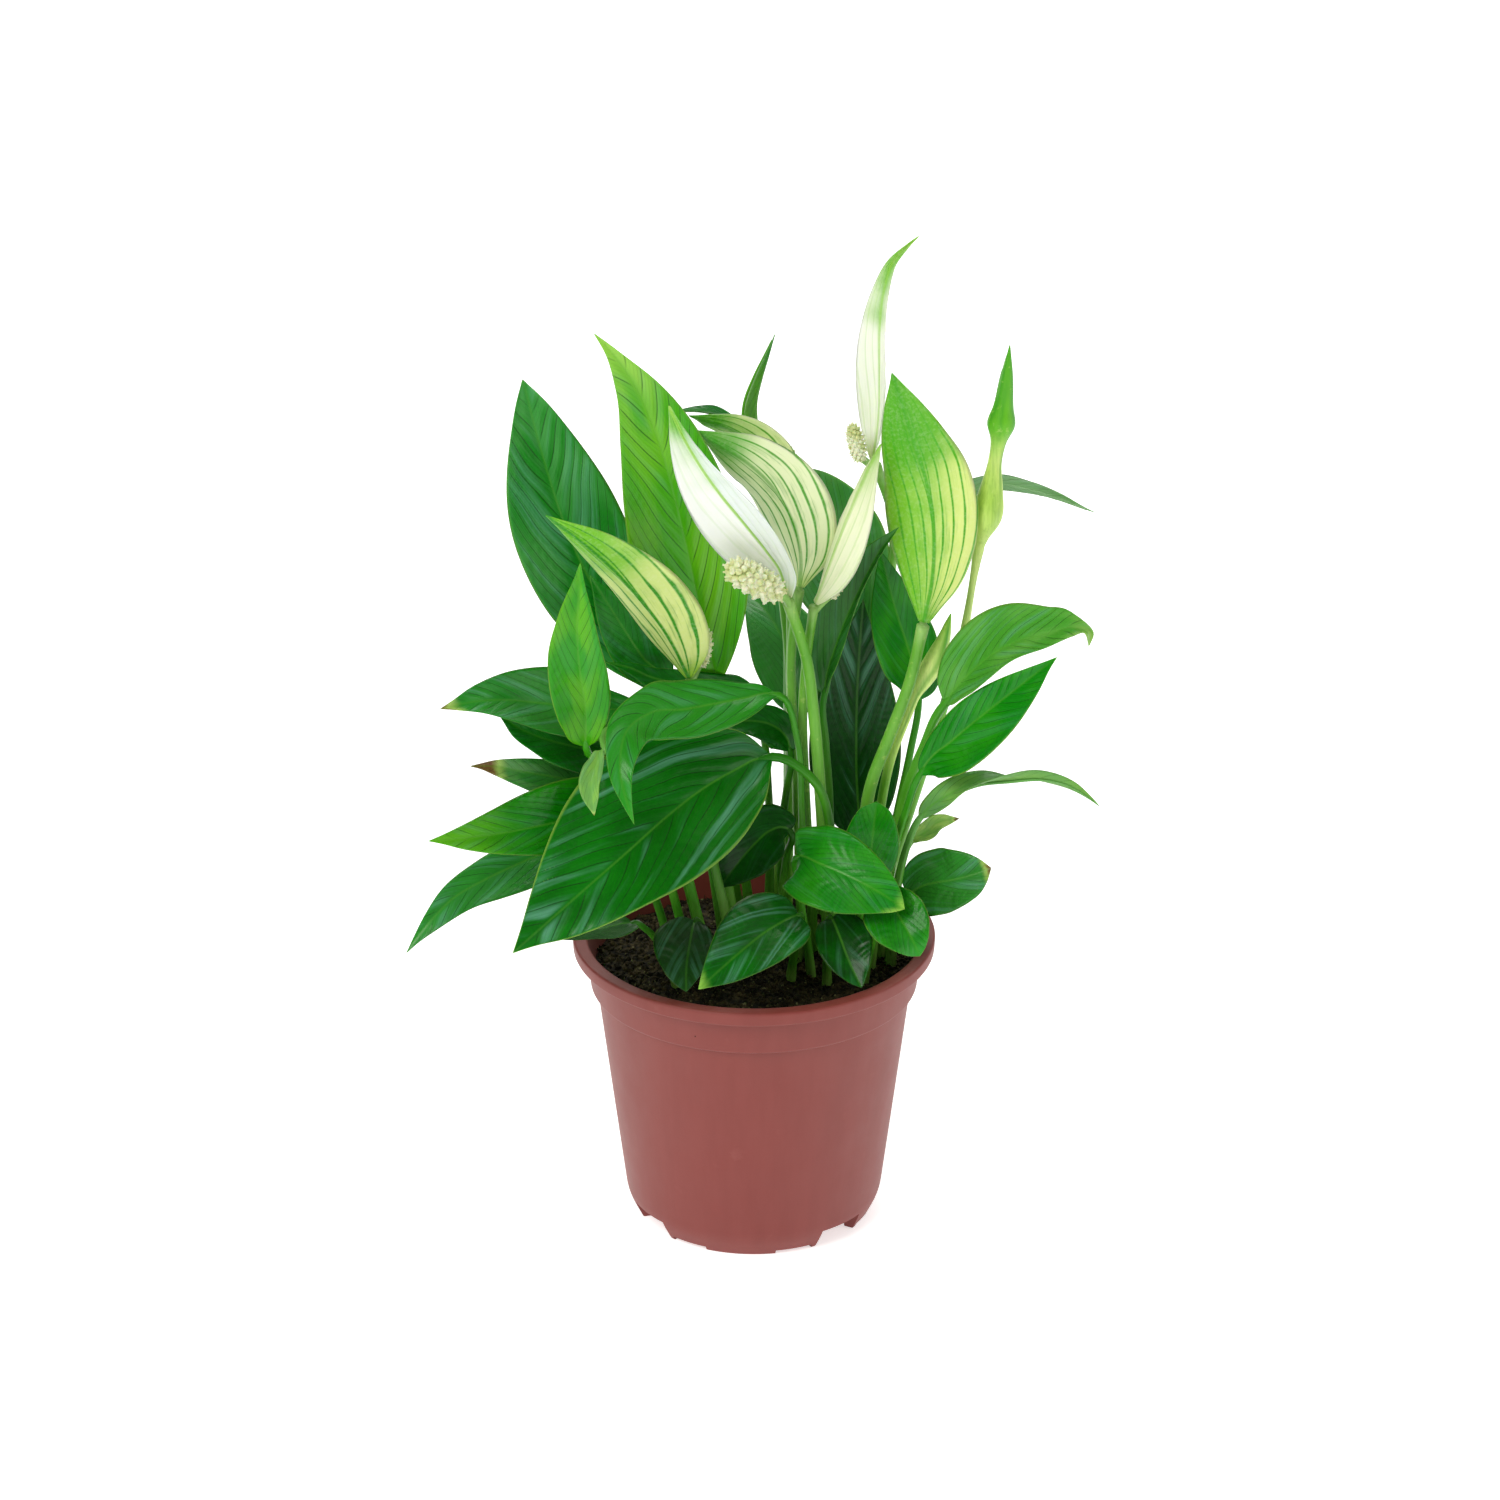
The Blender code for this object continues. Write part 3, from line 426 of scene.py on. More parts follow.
def floret_finish(name, shade, light):
    """The spike's knobbly florets: cream with greenish hollows."""
    def varying(wire):
        place = wire.coordinates()
        grain = wire.speckle(place, 1100.0)
        patch = wire.speckle(place, 260.0, 1.0)
        body = patch.between(0.35, 0.65).blend(shade, light)
        colour = (grain.between(0.55, 0.75) * 0.5).blend(body, FLORET_GRAIN)
        return {"Base Color": colour, "Roughness": 0.6 + grain * 0.2,
                "Normal": grain.bump(0.00015, 0.5)}
    return material(name, {"Subsurface Weight": 0.15, "Subsurface Scale": 0.001}, varying)


def peat_finish(name, dark, light, grit):
    """Damp crumbly peat: near black, with brown and pale grains."""
    def varying(wire):
        place = wire.coordinates()
        lump = wire.speckle(place, 330.0, 5.0, 0.7)
        fine = wire.speckle(place, 1400.0, 4.0, 0.7)
        tone = lump.between(0.4, 0.68).blend(dark, light)
        colour = (fine.between(0.62, 0.74) * 0.55).blend(tone, grit)
        return {"Base Color": colour, "Roughness": 0.85 + fine * 0.15,
                "Normal": (lump * 0.7 + fine * 0.3).bump(0.0006, 0.8)}
    return material(name, {"Specular IOR Level": 0.25}, varying)


def pot_finish(name, red, pale):
    """Moulded terracotta-coloured plastic: faint flow marks, fine matte grain, dull scuffs."""
    def varying(wire):
        place = wire.coordinates()
        grain = wire.speckle(place, 1600.0, 2.0)
        scuff = wire.speckle(place, 90.0, 5.0, 0.65)
        flow_mark = wire.speckle(wire.drawn_out(place, 0.12), 140.0, 3.0)
        base = flow_mark.between(0.3, 0.7).blend(red, pale)
        dusty = (scuff.between(0.6, 0.8) * 0.12).blend(base, POT_SCUFF)
        colour = (grain.between(0.5, 0.75) * 0.1).blend(dusty, POT_GRAIN)
        return {"Base Color": colour, "Roughness": 0.44 + scuff * 0.2,
                "Normal": (grain * 0.5 + scuff * 0.2).bump(0.00006, 0.4)}
    return material(name, {"Specular IOR Level": 0.5, "Sheen Weight": 0.08,
                           "Sheen Roughness": 0.4,
                           "Sheen Tint": (1.0, 0.82, 0.8, 1.0)}, varying)


# ---- objects ----------------------------------------------------------------------------
def finished_mesh(name, bm):
    """A mesh made from a bmesh, which is freed."""
    mesh = bpy.data.meshes.new(name)
    bm.to_mesh(mesh)
    bm.free()
    return mesh


def placed(name, data):
    """A new object of the scene."""
    made = bpy.data.objects.new(name, data)
    bpy.context.scene.collection.objects.link(made)
    return made


# ---- reading the CAD lofts --------------------------------------------------------------
BLADE_LAYERS = 8
BURIED = 0.003


def loft_rings(node, sides=8):
    """The rings of a CAD loft from its foot to its tip, and the tip itself if it has one."""
    bm = bmesh.new()
    bm.from_mesh(NODES[node].data)
    bmesh.ops.remove_doubles(bm, verts=bm.verts, dist=WELD)
    bm.verts.ensure_lookup_table()
    beside = [{edge.other_vert(vert).index for edge in vert.link_edges} for vert in bm.verts]
    spots = np.array([vert.co[:] for vert in bm.verts])
    bm.free()

    def layers(start):
        seen = set(start)
        found = [sorted(start)]
        while True:
            following = sorted(set().union(*(beside[v] for v in found[-1])) - seen)
            if not following:
                return found
            seen.update(following)
            found.append(following)

    def in_order(layer, way):
        """The ring's points in turn: along its edges, or by angle where a cap joins it."""
        members = set(layer)
        if all(len(beside[v] & members) == 2 for v in layer):
            chain = [layer[0]]
            while len(chain) < len(layer):
                chain.append(sorted((beside[chain[-1]] & members) - set(chain))[0])
            return spots[chain]
        middle = spots[layer].mean(axis=0)
        arm = spots[layer[0]] - middle
        other = np.cross(way, arm)
        turn = [math.atan2((spots[v] - middle) @ other, (spots[v] - middle) @ arm)
                for v in layer]
        return spots[[layer[n] for n in np.argsort(turn)]]

    found = None
    for v in range(len(spots)):
        if len(beside[v]) == sides:
            trial = layers([v])
            if all(len(layer) == sides for layer in trial[1:]):
                found = trial[::-1]
                break
    tip = spots[found[-1][0]] if found else None
    if not found:
        found = layers([int(v) for v in np.argsort(spots[:, 2])[:sides]])
    elif len(found[-1]) == 1:
        found = found[:-1]
    middles = [spots[layer].mean(axis=0) for layer in found]
    rings = []
    for n, layer in enumerate(found):
        way = middles[min(n + 1, len(found) - 1)] - middles[max(n - 1, 0)]
        way = way / np.linalg.norm(way)
        rings.append(in_order(layer, way))
    return rings, tip


def unit(rows):
    """Rows scaled to length one."""
    rows = np.asarray(rows, float)
    length = np.linalg.norm(rows, axis=-1, keepdims=True)
    return rows / np.maximum(length, 1e-12)


def flow(knots, values, at):
    """Smooth values through those at the knots, by Hermite spans."""
    knots = np.asarray(knots, float)
    values = np.asarray(values, float)
    flat = values.ndim == 1
    if flat:
        values = values[:, None]
    span = np.diff(knots)[:, None]
    rise = np.diff(values, axis=0) / span
    slope = np.zeros_like(values)
    slope[0] = rise[0]
    slope[-1] = rise[-1]
    slope[1:-1] = (rise[:-1] * span[1:] + rise[1:] * span[:-1]) / (span[1:] + span[:-1])
    at = np.clip(np.asarray(at, float), knots[0], knots[-1])
    n = np.clip(np.searchsorted(knots, at, side="right") - 1, 0, len(knots) - 2)
    h = span[n]
    t = ((at - knots[n])[:, None]) / h
    got = (values[n] * (2 * t ** 3 - 3 * t ** 2 + 1) + slope[n] * h * (t ** 3 - 2 * t ** 2 + t)
           + values[n + 1] * (3 * t ** 2 - 2 * t ** 3) + slope[n + 1] * h * (t ** 3 - t ** 2))
    return got[:, 0] if flat else got


def ring_size(ring):
    """Mean radius of a ring of points."""
    return float(np.linalg.norm(ring - ring.mean(axis=0), axis=1).mean())


def measured(points):
    """Length run at each point of a path."""
    steps = np.linalg.norm(np.diff(points, axis=0), axis=1)
    return np.concatenate([[0.0], np.cumsum(steps)])


def read_blade(rings, tip):
    """Middle, upper side and the reach to the left and right edge of each blade ring."""
    rib = []
    ups = []
    edges = []
    for ring in rings:
        reach = [np.linalg.norm(ring[n] - ring[n + 4]) for n in range(4)]
        n = int(np.argmax(reach))
        first = ring[n]
        second = ring[(n + 4) % 8]
        top = ring[(n + 2) % 8]
        low = ring[(n + 6) % 8]
        middle = (top + low) * 0.5
        up = unit(top - low)
        if up @ ((first + second) * 0.5 - middle) < 0.0:
            up = -up
        rib.append(middle)
        ups.append(up)
        edges.append((first, second))
    ways = unit(np.gradient(np.array(rib + [tip]), axis=0))
    left = []
    right = []
    for way, up, middle, (first, second) in zip(ways, ups, rib, edges):
        side = np.cross(way, up)
        if (first - second) @ side > 0.0:
            first, second = second, first
        left.append(first - middle)
        right.append(second - middle)
    return np.array(rib), np.array(ups), np.array(left), np.array(right)


def whole_blade(rings, tip, neck_half=None):
    """A blade's rows from its neck to its tip, its length and half width in mm, its neck's size."""
    rib, ups, left, right = read_blade(rings[-BLADE_LAYERS:], tip)
    neck = rings[-BLADE_LAYERS - 1]
    neck_size = ring_size(neck)
    start = unit(right[0] - left[0]) * (neck_size if neck_half is None else neck_half)
    rib = np.concatenate([neck.mean(axis=0)[None, :], rib])
    ups = np.concatenate([ups[:1], ups])
    left = np.concatenate([-start[None, :], left])
    right = np.concatenate([start[None, :], right])
    run = measured(np.concatenate([rib, tip[None, :]]))[-1] / MM
    wide = max(np.linalg.norm(left, axis=1).max(), np.linalg.norm(right, axis=1).max()) / MM
    return (rib, ups, left, right, tip), run, wide, neck_size


def stalk_path(rings):
    """Middles and sizes of a stalk's rings, its foot sunk into the peat."""
    spots = np.array([ring.mean(axis=0) for ring in rings])
    sizes = np.array([ring_size(ring) for ring in rings])
    spots[0] = spots[0] - np.array([0.0, 0.0, BURIED])
    return spots, sizes


# ---- meshes from rings ------------------------------------------------------------------
FACES_WEIGHED = 4000


class Skin:
    """Vertices, faces and point attributes of one piece, gathered shell by shell."""

    def __init__(self):
        self.points = []
        self.faces = []
        self.values = {}
        self.count = 0

    def shell(self, rows, values, tip=None):
        """Skin closed rings of equal count; the first is capped, the last meets the tip."""
        number, around = rows.shape[:2]
        start = self.count
        points = [rows.reshape(-1, 3)]
        held = {name: [np.broadcast_to(value, rows.shape[:2]).reshape(-1)
                       if np.ndim(value) < 3 else value.reshape(-1, value.shape[-1])]
                for name, value in values.items()}
        row = np.arange(number - 1)[:, None] * around
        here = np.arange(around)[None, :]
        beyond = (here + 1) % around
        quads = np.stack([row + here, row + beyond, row + around + beyond, row + around + here],
                         axis=-1).reshape(-1, 4)
        faces = [tuple(quad) for quad in (quads + start).tolist()]
        ends = [(0, rows[0].mean(axis=0), True)]
        ends.append(((number - 1) * around,
                     rows[-1].mean(axis=0) if tip is None else np.asarray(tip), False))
        extra = start + number * around
        for place, (first, middle, backwards) in enumerate(ends):
            points.append(middle[None, :])
            for name, stack in held.items():
                stack.append(stack[0][first:first + 1])
            for n in range(around):
                a = start + first + n
                b = start + first + (n + 1) % around
                faces.append((b, a, extra + place) if backwards else (a, b, extra + place))
        joined = np.concatenate(points)
        volume = 0.0
        for face in faces[:: max(1, len(faces) // FACES_WEIGHED)]:
            a, b, c = (joined[face[k] - start] - joined[0] for k in (0, 1, 2))
            volume += float(np.dot(a, np.cross(b, c)))
        if volume < 0.0:
            faces = [tuple(reversed(face)) for face in faces]
        self.points.append(joined)
        self.faces.extend(faces)
        for name, stack in held.items():
            self.values.setdefault(name, []).append(np.concatenate(stack))
        self.count += len(joined)

    def build(self, name, finish):
        """The finished object, smooth shaded, with its attributes."""
        mesh = bpy.data.meshes.new(name)
        mesh.from_pydata(np.concatenate(self.points).tolist(), [], self.faces)
        for label, stacks in self.values.items():
            data = np.concatenate(stacks).astype(np.float32)
            if data.ndim == 1:
                layer = mesh.attributes.new(label, "FLOAT", "POINT")
                layer.data.foreach_set("value", data)
            else:
                layer = mesh.attributes.new(label, "FLOAT_COLOR", "POINT")
                full = np.concatenate([data, np.ones((len(data), 1), np.float32)], axis=1)
                layer.data.foreach_set("color", full.reshape(-1))
        mesh.polygons.foreach_set("use_smooth", [True] * len(mesh.polygons))
        mesh.materials.append(finish)
        mesh.update()
        return placed(name, mesh)


def settle(piece, slot, *nodes):
    """Hand a finished piece to the frame."""
    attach(piece, "root")
    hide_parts(*nodes)


def steady(points, first_up):
    """An up direction carried along a path without twist."""
    ways = unit(np.gradient(points, axis=0))
    ups = []
    up = np.asarray(first_up, float)
    for way in ways:
        up = up - way * (up @ way)
        up = up / max(np.linalg.norm(up), 1e-9)
        ups.append(up)
    return ways, np.array(ups)


def wander(count, scale, seed, lanes=1):
    """Smooth seeded noise along rows, one column for each lane."""
    got = np.zeros((count, lanes))
    for n in range(count):
        for lane in range(lanes):
            got[n, lane] = noise.noise(Vector((n * scale, lane * 3.7, seed * 1.37)))
    return got[:, 0] if lanes == 1 else got


def ease(low, high, value):
    """0 below low, 1 above high, smooth in between."""
    share = np.clip((np.asarray(value, float) - low) / (high - low), 0.0, 1.0)
    return share * share * (3.0 - 2.0 * share)


def mixed(first, second, amount):
    """Mix colours, either of which may be a field, by an amount for each point."""
    amount = np.asarray(amount)[..., None]
    return np.asarray(first) * (1.0 - amount) + np.asarray(second) * amount


# ---- leaves -----------------------------------------------------------------------------
STALK_SIDES = 14
NECK_HALF = 0.3 * MM
VEIN_SLANT = 1.6
VEIN_BEND = 1.8
PLEAT = 0.042


def blade_field(rib, ups, left, right, tip, steps, columns):
    """The middle surface of a blade, its normals, and where each point lies on it."""
    knots = measured(np.concatenate([rib, tip[None, :]]))
    run = knots[-1]
    ends = np.linspace(0.0, 1.0, steps + 1)
    at = run * (ends ** 0.92)
    spot = flow(knots, np.concatenate([rib, tip[None, :]]), at)
    up = unit(flow(knots[:-1], ups, at))
    zero = np.zeros((1, 3))
    reach_left = flow(knots, np.concatenate([left, zero]), at)
    reach_right = flow(knots, np.concatenate([right, zero]), at)
    cells = np.linspace(-1.0, 1.0, 2 * columns + 1)
    across = np.sign(cells) * np.abs(cells) ** 1.3
    surface = np.zeros((steps + 1, len(across), 3))
    width = np.zeros((steps + 1, len(across)))
    for n, t in enumerate(across):
        reach = reach_left if t < 0.0 else reach_right
        lift = (reach * up).sum(axis=1, keepdims=True)
        sway = reach - up * lift
        surface[:, n] = spot + sway * abs(t) + up * lift * abs(t) * (0.35 + 0.65 * abs(t))
        width[:, n] = np.linalg.norm(reach, axis=1)
    rib_mm = width * np.abs(across)[None, :] / MM
    along = np.broadcast_to((at / run)[:, None], rib_mm.shape)
    along_mm = np.broadcast_to(at[:, None], rib_mm.shape) / MM
    t_all = np.broadcast_to(across[None, :], rib_mm.shape)
    down = np.gradient(surface, axis=0)
    side = np.gradient(surface, axis=1)
    normal = unit(np.cross(side, down))
    normal[np.sum(normal * up[:, None, :], axis=-1) < 0.0] *= -1.0
    normal[-1] = up[-1]
    return {"surface": surface, "normal": normal, "along": along, "along_mm": along_mm,
            "across": t_all, "rib": rib_mm, "run": run, "up": up, "spot": spot, "at": at}


def two_sided(field, lift, thick):
    """Rings of the closed sheet: over the upper side, back along the lower side."""
    surface = field["surface"]
    normal = field["normal"]
    upper = surface + normal * (lift + thick * 0.5)[..., None]
    lower = surface + normal * (lift - thick * 0.5)[..., None]
    return np.concatenate([upper, lower[:, -2:0:-1]], axis=1)


def round_the_sheet(values, lower=None):
    """Values of the upper side repeated for the lower side of the sheet."""
    under = values if lower is None else lower
    return np.concatenate([values, under[:, -2:0:-1]], axis=1)


def leaf_colours(field, paints, seed):
    """Blade colour at each point of a leaf."""
    along = field["along"]
    across = field["across"]
    steps, lanes = along.shape
    cloud = np.array([[noise.noise(Vector((along[n, 0] * 5.0, across[n, k] * 1.6, seed)))
                       for k in range(0, lanes, 2)] for n in range(steps)])
    cloud = np.repeat(cloud, 2, axis=1)[:, :lanes]
    colour = mixed(paints["body"], paints["light"], ease(-0.25, 0.45, cloud) * paints["patch"])
    if paints["half"] is not None:
        colour = mixed(colour, paints["half"], ease(-0.02, 0.08, across))
    if paints["tip"] is not None:
        start = 1.0 - paints["tip_size"]
        colour = mixed(colour, paints["tip"], ease(start, 1.0, along + cloud * 0.08) * 0.9)
    if paints["burn"] > 0.0:
        edge = 1.0 - paints["burn"]
        colour = mixed(colour, STRAW, ease(edge - 0.05, edge + 0.01, along + cloud * 0.04) * 0.7)
        colour = mixed(colour, BURNT, ease(edge, edge + 0.04, along + cloud * 0.05))
    return colour


def grow_leaf(node, paints, seed, finish, slot):
    """One leaf: a round stalk that runs on as the rib under a veined, rippled blade."""
    rings, tip = loft_rings(node)
    blade, run, wide, neck_size = whole_blade(rings, tip, NECK_HALF)
    steps = int(np.clip(run * 1.25, 46, 150))
    field = blade_field(*blade, steps, int(np.clip(wide, 7, 18)))

    # veins leave the rib at a slant and bend forward; those of the two halves don't meet
    bend = VEIN_BEND / max(wide, 1.0)
    pitch = np.clip(run / 11.0, 4.5, 10.5)
    sway = wander(steps + 1, 0.05, seed)[:, None] * 0.22
    vein = (field["along_mm"] - VEIN_SLANT * field["rib"]
            - bend * field["rib"] ** 2) / pitch + sway
    vein = vein + np.where(field["across"] > 0.0, 0.37, 0.0) + 40.0
    inside = (ease(0.0, 0.1, field["along"]) * (1.0 - ease(0.86, 1.0, field["along"]))
              * (1.0 - ease(0.8, 1.0, np.abs(field["across"]))) * ease(0.6, 2.5, field["rib"]))
    folds = 0.75 + 0.5 * wander(steps + 1, 0.06, seed + 3.0)[:, None]
    pleat = (np.abs(np.sin(math.pi * vein)) ** 0.8 - 0.6) * inside * folds
    pleat = pleat * PLEAT * min(wide, 20.0)
    groove = -np.exp(-(field["rib"] / 1.1) ** 2) * 0.34 * (1.0 - 0.7 * field["along"])
    waves = wander(steps + 1, 4.2 / steps, seed + 5.0, 2)
    lane = np.where(field["across"] < 0.0, waves[:, :1], waves[:, 1:])
    ripples = np.sin(field["along_mm"] / 9.0 + seed * 2.0
                     + np.where(field["across"] < 0.0, 0.0, 2.1))
    edge_out = np.abs(field["across"]) ** 2.5
    ripple = (lane * 1.6 + ripples * 0.55) * edge_out * wide * paints["wave"]
    ripple = ripple * ease(0.0, 0.2, field["along"]) * (1.0 - ease(0.85, 1.0, field["along"]))
    lift = (pleat + groove + ripple) * MM
    thin = (0.46 - 0.2 * np.abs(field["across"]) - 0.12 * field["along"]) * MM
    thick = np.where(np.abs(field["across"]) > 0.999, 0.0, thin)

    colour = leaf_colours(field, paints, seed)
    edge = 1.0 - np.abs(field["across"])
    edge = np.where(field["along"] > 0.9, np.maximum(edge * (1.0 - field["along"]) * 10.0, 0.0),
                    edge)
    flat = np.zeros_like(edge)
    rows = two_sided(field, lift, thick)
    values = {
        "blade_colour": round_the_sheet(colour),
        "vein": round_the_sheet(vein),
        "rib": round_the_sheet(field["rib"]),
        "along": round_the_sheet(field["along"]),
        "edge": round_the_sheet(edge),
        # how much sheen is painted between the veins, and how dark the painted shade in the veins
        # is
        "streak": round_the_sheet(flat + paints["streaks"] * inside ** 0.5),
        "vein_depth": round_the_sheet(flat + paints["veins"] * inside ** 0.5),
        "rib_light": round_the_sheet(flat + 0.5 * (1.0 - 0.7 * field["along"]), flat),
        "rim": round_the_sheet(flat + paints["rim"]),
        "under": round_the_sheet(flat, flat + 1.0),
        "seed": round_the_sheet(flat + seed * 3.1),
    }
    skin = Skin()
    skin.shell(rows[:-1], values_less(values), tip)
    grow_stalk(skin, rings[:-BLADE_LAYERS], field, lift, neck_size, paints, seed)
    piece = skin.build(node + "_blade", finish)
    settle(piece, slot, node)
    return piece


def values_less(values):
    """The same fields without the last row, which the tip replaces."""
    return {name: value[:-1] for name, value in values.items()}


def tube(spots, sizes, first_up, sides, channel=0.0, squash=0.0):
    """Rings round a path: channel sinks the upper side, squash flattens it."""
    ways, ups = steady(spots, first_up)
    sides_of = np.cross(ways, ups)
    turn = 2.0 * math.pi * np.arange(sides) / sides
    sunk = np.broadcast_to(channel, sizes.shape)[:, None]
    flat = np.broadcast_to(squash, sizes.shape)[:, None]
    sink = 1.0 - sunk * np.exp(-((turn - math.pi / 2) / 0.55) ** 2)
    wide = np.cos(turn)[None, :] * sink * (1.0 + flat)
    high = np.sin(turn)[None, :] * sink * (1.0 - 0.4 * flat)
    return (spots[:, None, :] + sides_of[:, None, :] * (wide * sizes[:, None])[..., None]
            + ups[:, None, :] * (high * sizes[:, None])[..., None])


def round_the_stalk(colour, rows):
    """One colour for each ring, repeated round the ring."""
    return np.broadcast_to(colour[:, None, :], (*rows.shape[:2], 3))


def grow_stalk(skin, rings, field, lift, neck_size, paints, seed):
    """The leaf's stalk, sheathed at its foot, tapering on as the rib beneath the blade."""
    spots, size = stalk_path(rings)
    middle = lift.shape[1] // 2
    picked = np.linspace(0, len(field["at"]) - 1, 26).astype(int)[1:-1]
    share = field["at"][picked] / field["run"]
    rib_size = neck_size * ((1.0 - share) ** 0.9) * 0.8 + 0.1 * MM
    hang = ease(0.0, 0.07, share) * (rib_size + 0.1 * MM) - lift[picked, middle]
    rib_spots = field["spot"][picked] - field["up"][picked] * hang[:, None]
    whole = np.concatenate([spots, rib_spots])
    sizes = np.concatenate([size, rib_size])
    knots = measured(whole)
    neck_at = knots[len(spots) - 1]
    low = np.linspace(0.0, neck_at, 34)
    high = np.linspace(neck_at, knots[-1], 40)[1:]
    at = np.concatenate([low, high])
    path = flow(knots, whole, at)
    thick = np.interp(at, knots, sizes)
    foot = 1.0 - ease(0.0, 0.35, at / max(neck_at, 1e-6))
    thick = thick * (1.0 + 0.12 * foot)
    channel = 0.3 * (1.0 - ease(neck_at * 0.97, neck_at * 1.02, at))
    ways = unit(np.gradient(path, axis=0))
    start = field["up"][0]
    for n in range(len(low) - 1, -1, -1):
        start = start - ways[n] * (start @ ways[n])
        start = start / max(np.linalg.norm(start), 1e-9)
    rows = tube(path, thick, start, STALK_SIDES, channel, 0.22 * foot)
    shade = 0.5 + 0.5 * wander(len(at), 0.2, seed + 9.0)
    colour = mixed(STEM, STEM_SHADE, np.clip(shade, 0.0, 1.0))
    colour = mixed(colour, paints["body"], 0.3 + 0.4 * ease(neck_at * 0.6, neck_at, at))
    colour = mixed(colour, STALK_FOOT, foot * 0.45)
    # between two veins, clear of rib and margin, with no painted sheen and no painted vein shade
    skin.shell(rows, {"blade_colour": round_the_stalk(colour, rows), "vein": 40.5, "rib": 9.0,
                      "along": 0.2, "edge": 1.0, "streak": 0.0, "vein_depth": 0.0,
                      "rib_light": 0.0, "rim": 0.0, "under": 0.0, "seed": seed})


# ---- flowers ----------------------------------------------------------------------------
HOOD_COLUMNS = 14
SCAPE_SIDES = 18
PEG_RINGS = 12
BUD_SIDES = 26
BUD_TIP = 0.15 * MM
GOLDEN_ANGLE = 2.39996
FRONT = (0.0, -1.0, 0.0)


def grow_hood(flower, paints, seed, finish, slot):
    """The hood of one flower: a deeply cupped, pointed bract striped from foot to tip."""
    node = flower + "_spathe"
    rings, tip = loft_rings(node)
    blade, run, wide, _ = whole_blade(rings, tip)
    steps = int(np.clip(run * 1.3, 50, 130))
    field = blade_field(*blade, steps, HOOD_COLUMNS)
    across = field["across"]
    along = field["along"]
    sway = wander(steps + 1, 0.04, seed)[:, None] * 0.2
    vein = paints["lines"] * np.abs(across) ** 0.85 - 1.5 * along ** 1.3 + sway + 20.3
    inside = ease(0.0, 0.15, along) * (1.0 - ease(0.85, 1.0, along))
    pleat = (np.abs(np.sin(math.pi * vein)) ** 0.8 - 0.6) * inside * 0.4
    groove = -np.exp(-(field["rib"] / 1.0) ** 2) * 0.25
    waves = wander(steps + 1, 3.5 / steps, seed + 2.0, 2)
    lane = np.where(across < 0.0, waves[:, :1], waves[:, 1:])
    ripple = lane * np.abs(across) ** 2 * wide * 0.1 * inside
    lift = (pleat + groove + ripple) * MM
    thick = np.where(np.abs(across) > 0.999, 0.0, (0.5 - 0.25 * np.abs(across)) * MM)

    cloud = wander(steps + 1, 0.09, seed + 7.0)[:, None] * 0.1
    start = 1.0 - paints["tip_size"]
    colour = np.broadcast_to(np.array(paints["body"]), (*along.shape, 3))
    # one side in a second colour: painted shade on flower_2, its own green on flower_7
    if paints["half"] is not None:
        patchy = wander(steps + 1, 0.12, seed + 4.0)[:, None] * paints["blur"] * 0.3
        colour = mixed(colour, paints["half"],
                       ease(-paints["blur"], paints["blur"], across + patchy))
    drift = along + cloud + 0.12 * (0.5 - np.abs(across))
    colour = mixed(colour, paints["tip"], ease(start - 0.12, start + 0.28, drift) * 0.97)
    colour = mixed(colour, paints["base"], 1.0 - ease(0.0, paints["base_size"], along))
    stripe = np.broadcast_to(np.array(paints["stripe"]), colour.shape)
    flat = np.zeros_like(along)
    values = {
        "blade_colour": round_the_sheet(colour),
        "stripe_colour": round_the_sheet(stripe),
        "vein": round_the_sheet(vein),
        "rib": round_the_sheet(field["rib"]),
        "along": round_the_sheet(along),
        "streak": round_the_sheet(flat + paints["strength"]),
        "rib_light": round_the_sheet(flat + paints["midrib"]),
        "seed": round_the_sheet(flat + seed * 2.3),
    }
    rows = two_sided(field, lift, thick)
    skin = Skin()
    skin.shell(rows[:-1], values_less(values), tip)
    piece = skin.build(flower + "_hood", finish)
    settle(piece, slot, node)
    return piece


def spike_ends(flower):
    """Foot and tip of a flower's spike, and its radius."""
    rings, tip = loft_rings(flower + "_spadix", 10)
    foot = rings[0].mean(axis=0)
    return foot, tip, max(ring_size(ring) for ring in rings)


def grow_scape(flower, seed, finish):
    """The flower's stalk and the short peg that carries its spike."""
    node = flower + "_stalk"
    rings, _ = loft_rings(node)
    spots, size = stalk_path(rings)
    knots = measured(spots)
    at = np.linspace(0.0, knots[-1], 60)
    path = flow(knots, spots, at)
    top = ease(0.93, 1.0, at / knots[-1])
    thick = np.interp(at, knots, size) * (1.0 + 0.12 * top)
    skin = Skin()

    def add_length(path, thick, seed, top):
        """Skin one length of stalk, paler towards the flower."""
        rows = tube(path, thick, FRONT, SCAPE_SIDES)
        shade = np.clip(0.5 + 0.7 * wander(len(path), 0.15, seed), 0.0, 1.0)
        colour = mixed(SCAPE_LIGHT, SCAPE_SHADE, shade * 0.6)
        colour = mixed(colour, PISTACHIO, top * 0.25)
        skin.shell(rows, {"blade_colour": round_the_stalk(colour, rows)})

    add_length(path, thick, seed, top)
    foot, tip, radius = spike_ends(flower)
    peg = np.array([path[-1] - (path[-1] - path[-2]) * 1.2,
                    (path[-1] + foot) * 0.5 + (foot - tip) * 0.04,
                    foot + (tip - foot) * 0.1])
    reach = measured(peg)
    share = np.linspace(0.0, reach[-1], PEG_RINGS)
    add_length(flow(reach, peg, share), np.full(PEG_RINGS, min(1.2 * MM, radius * 0.6)),
               seed + 1.0, np.ones(PEG_RINGS))
    piece = skin.build(flower + "_stem", finish)
    settle(piece, "stalk_green", node)
    return piece


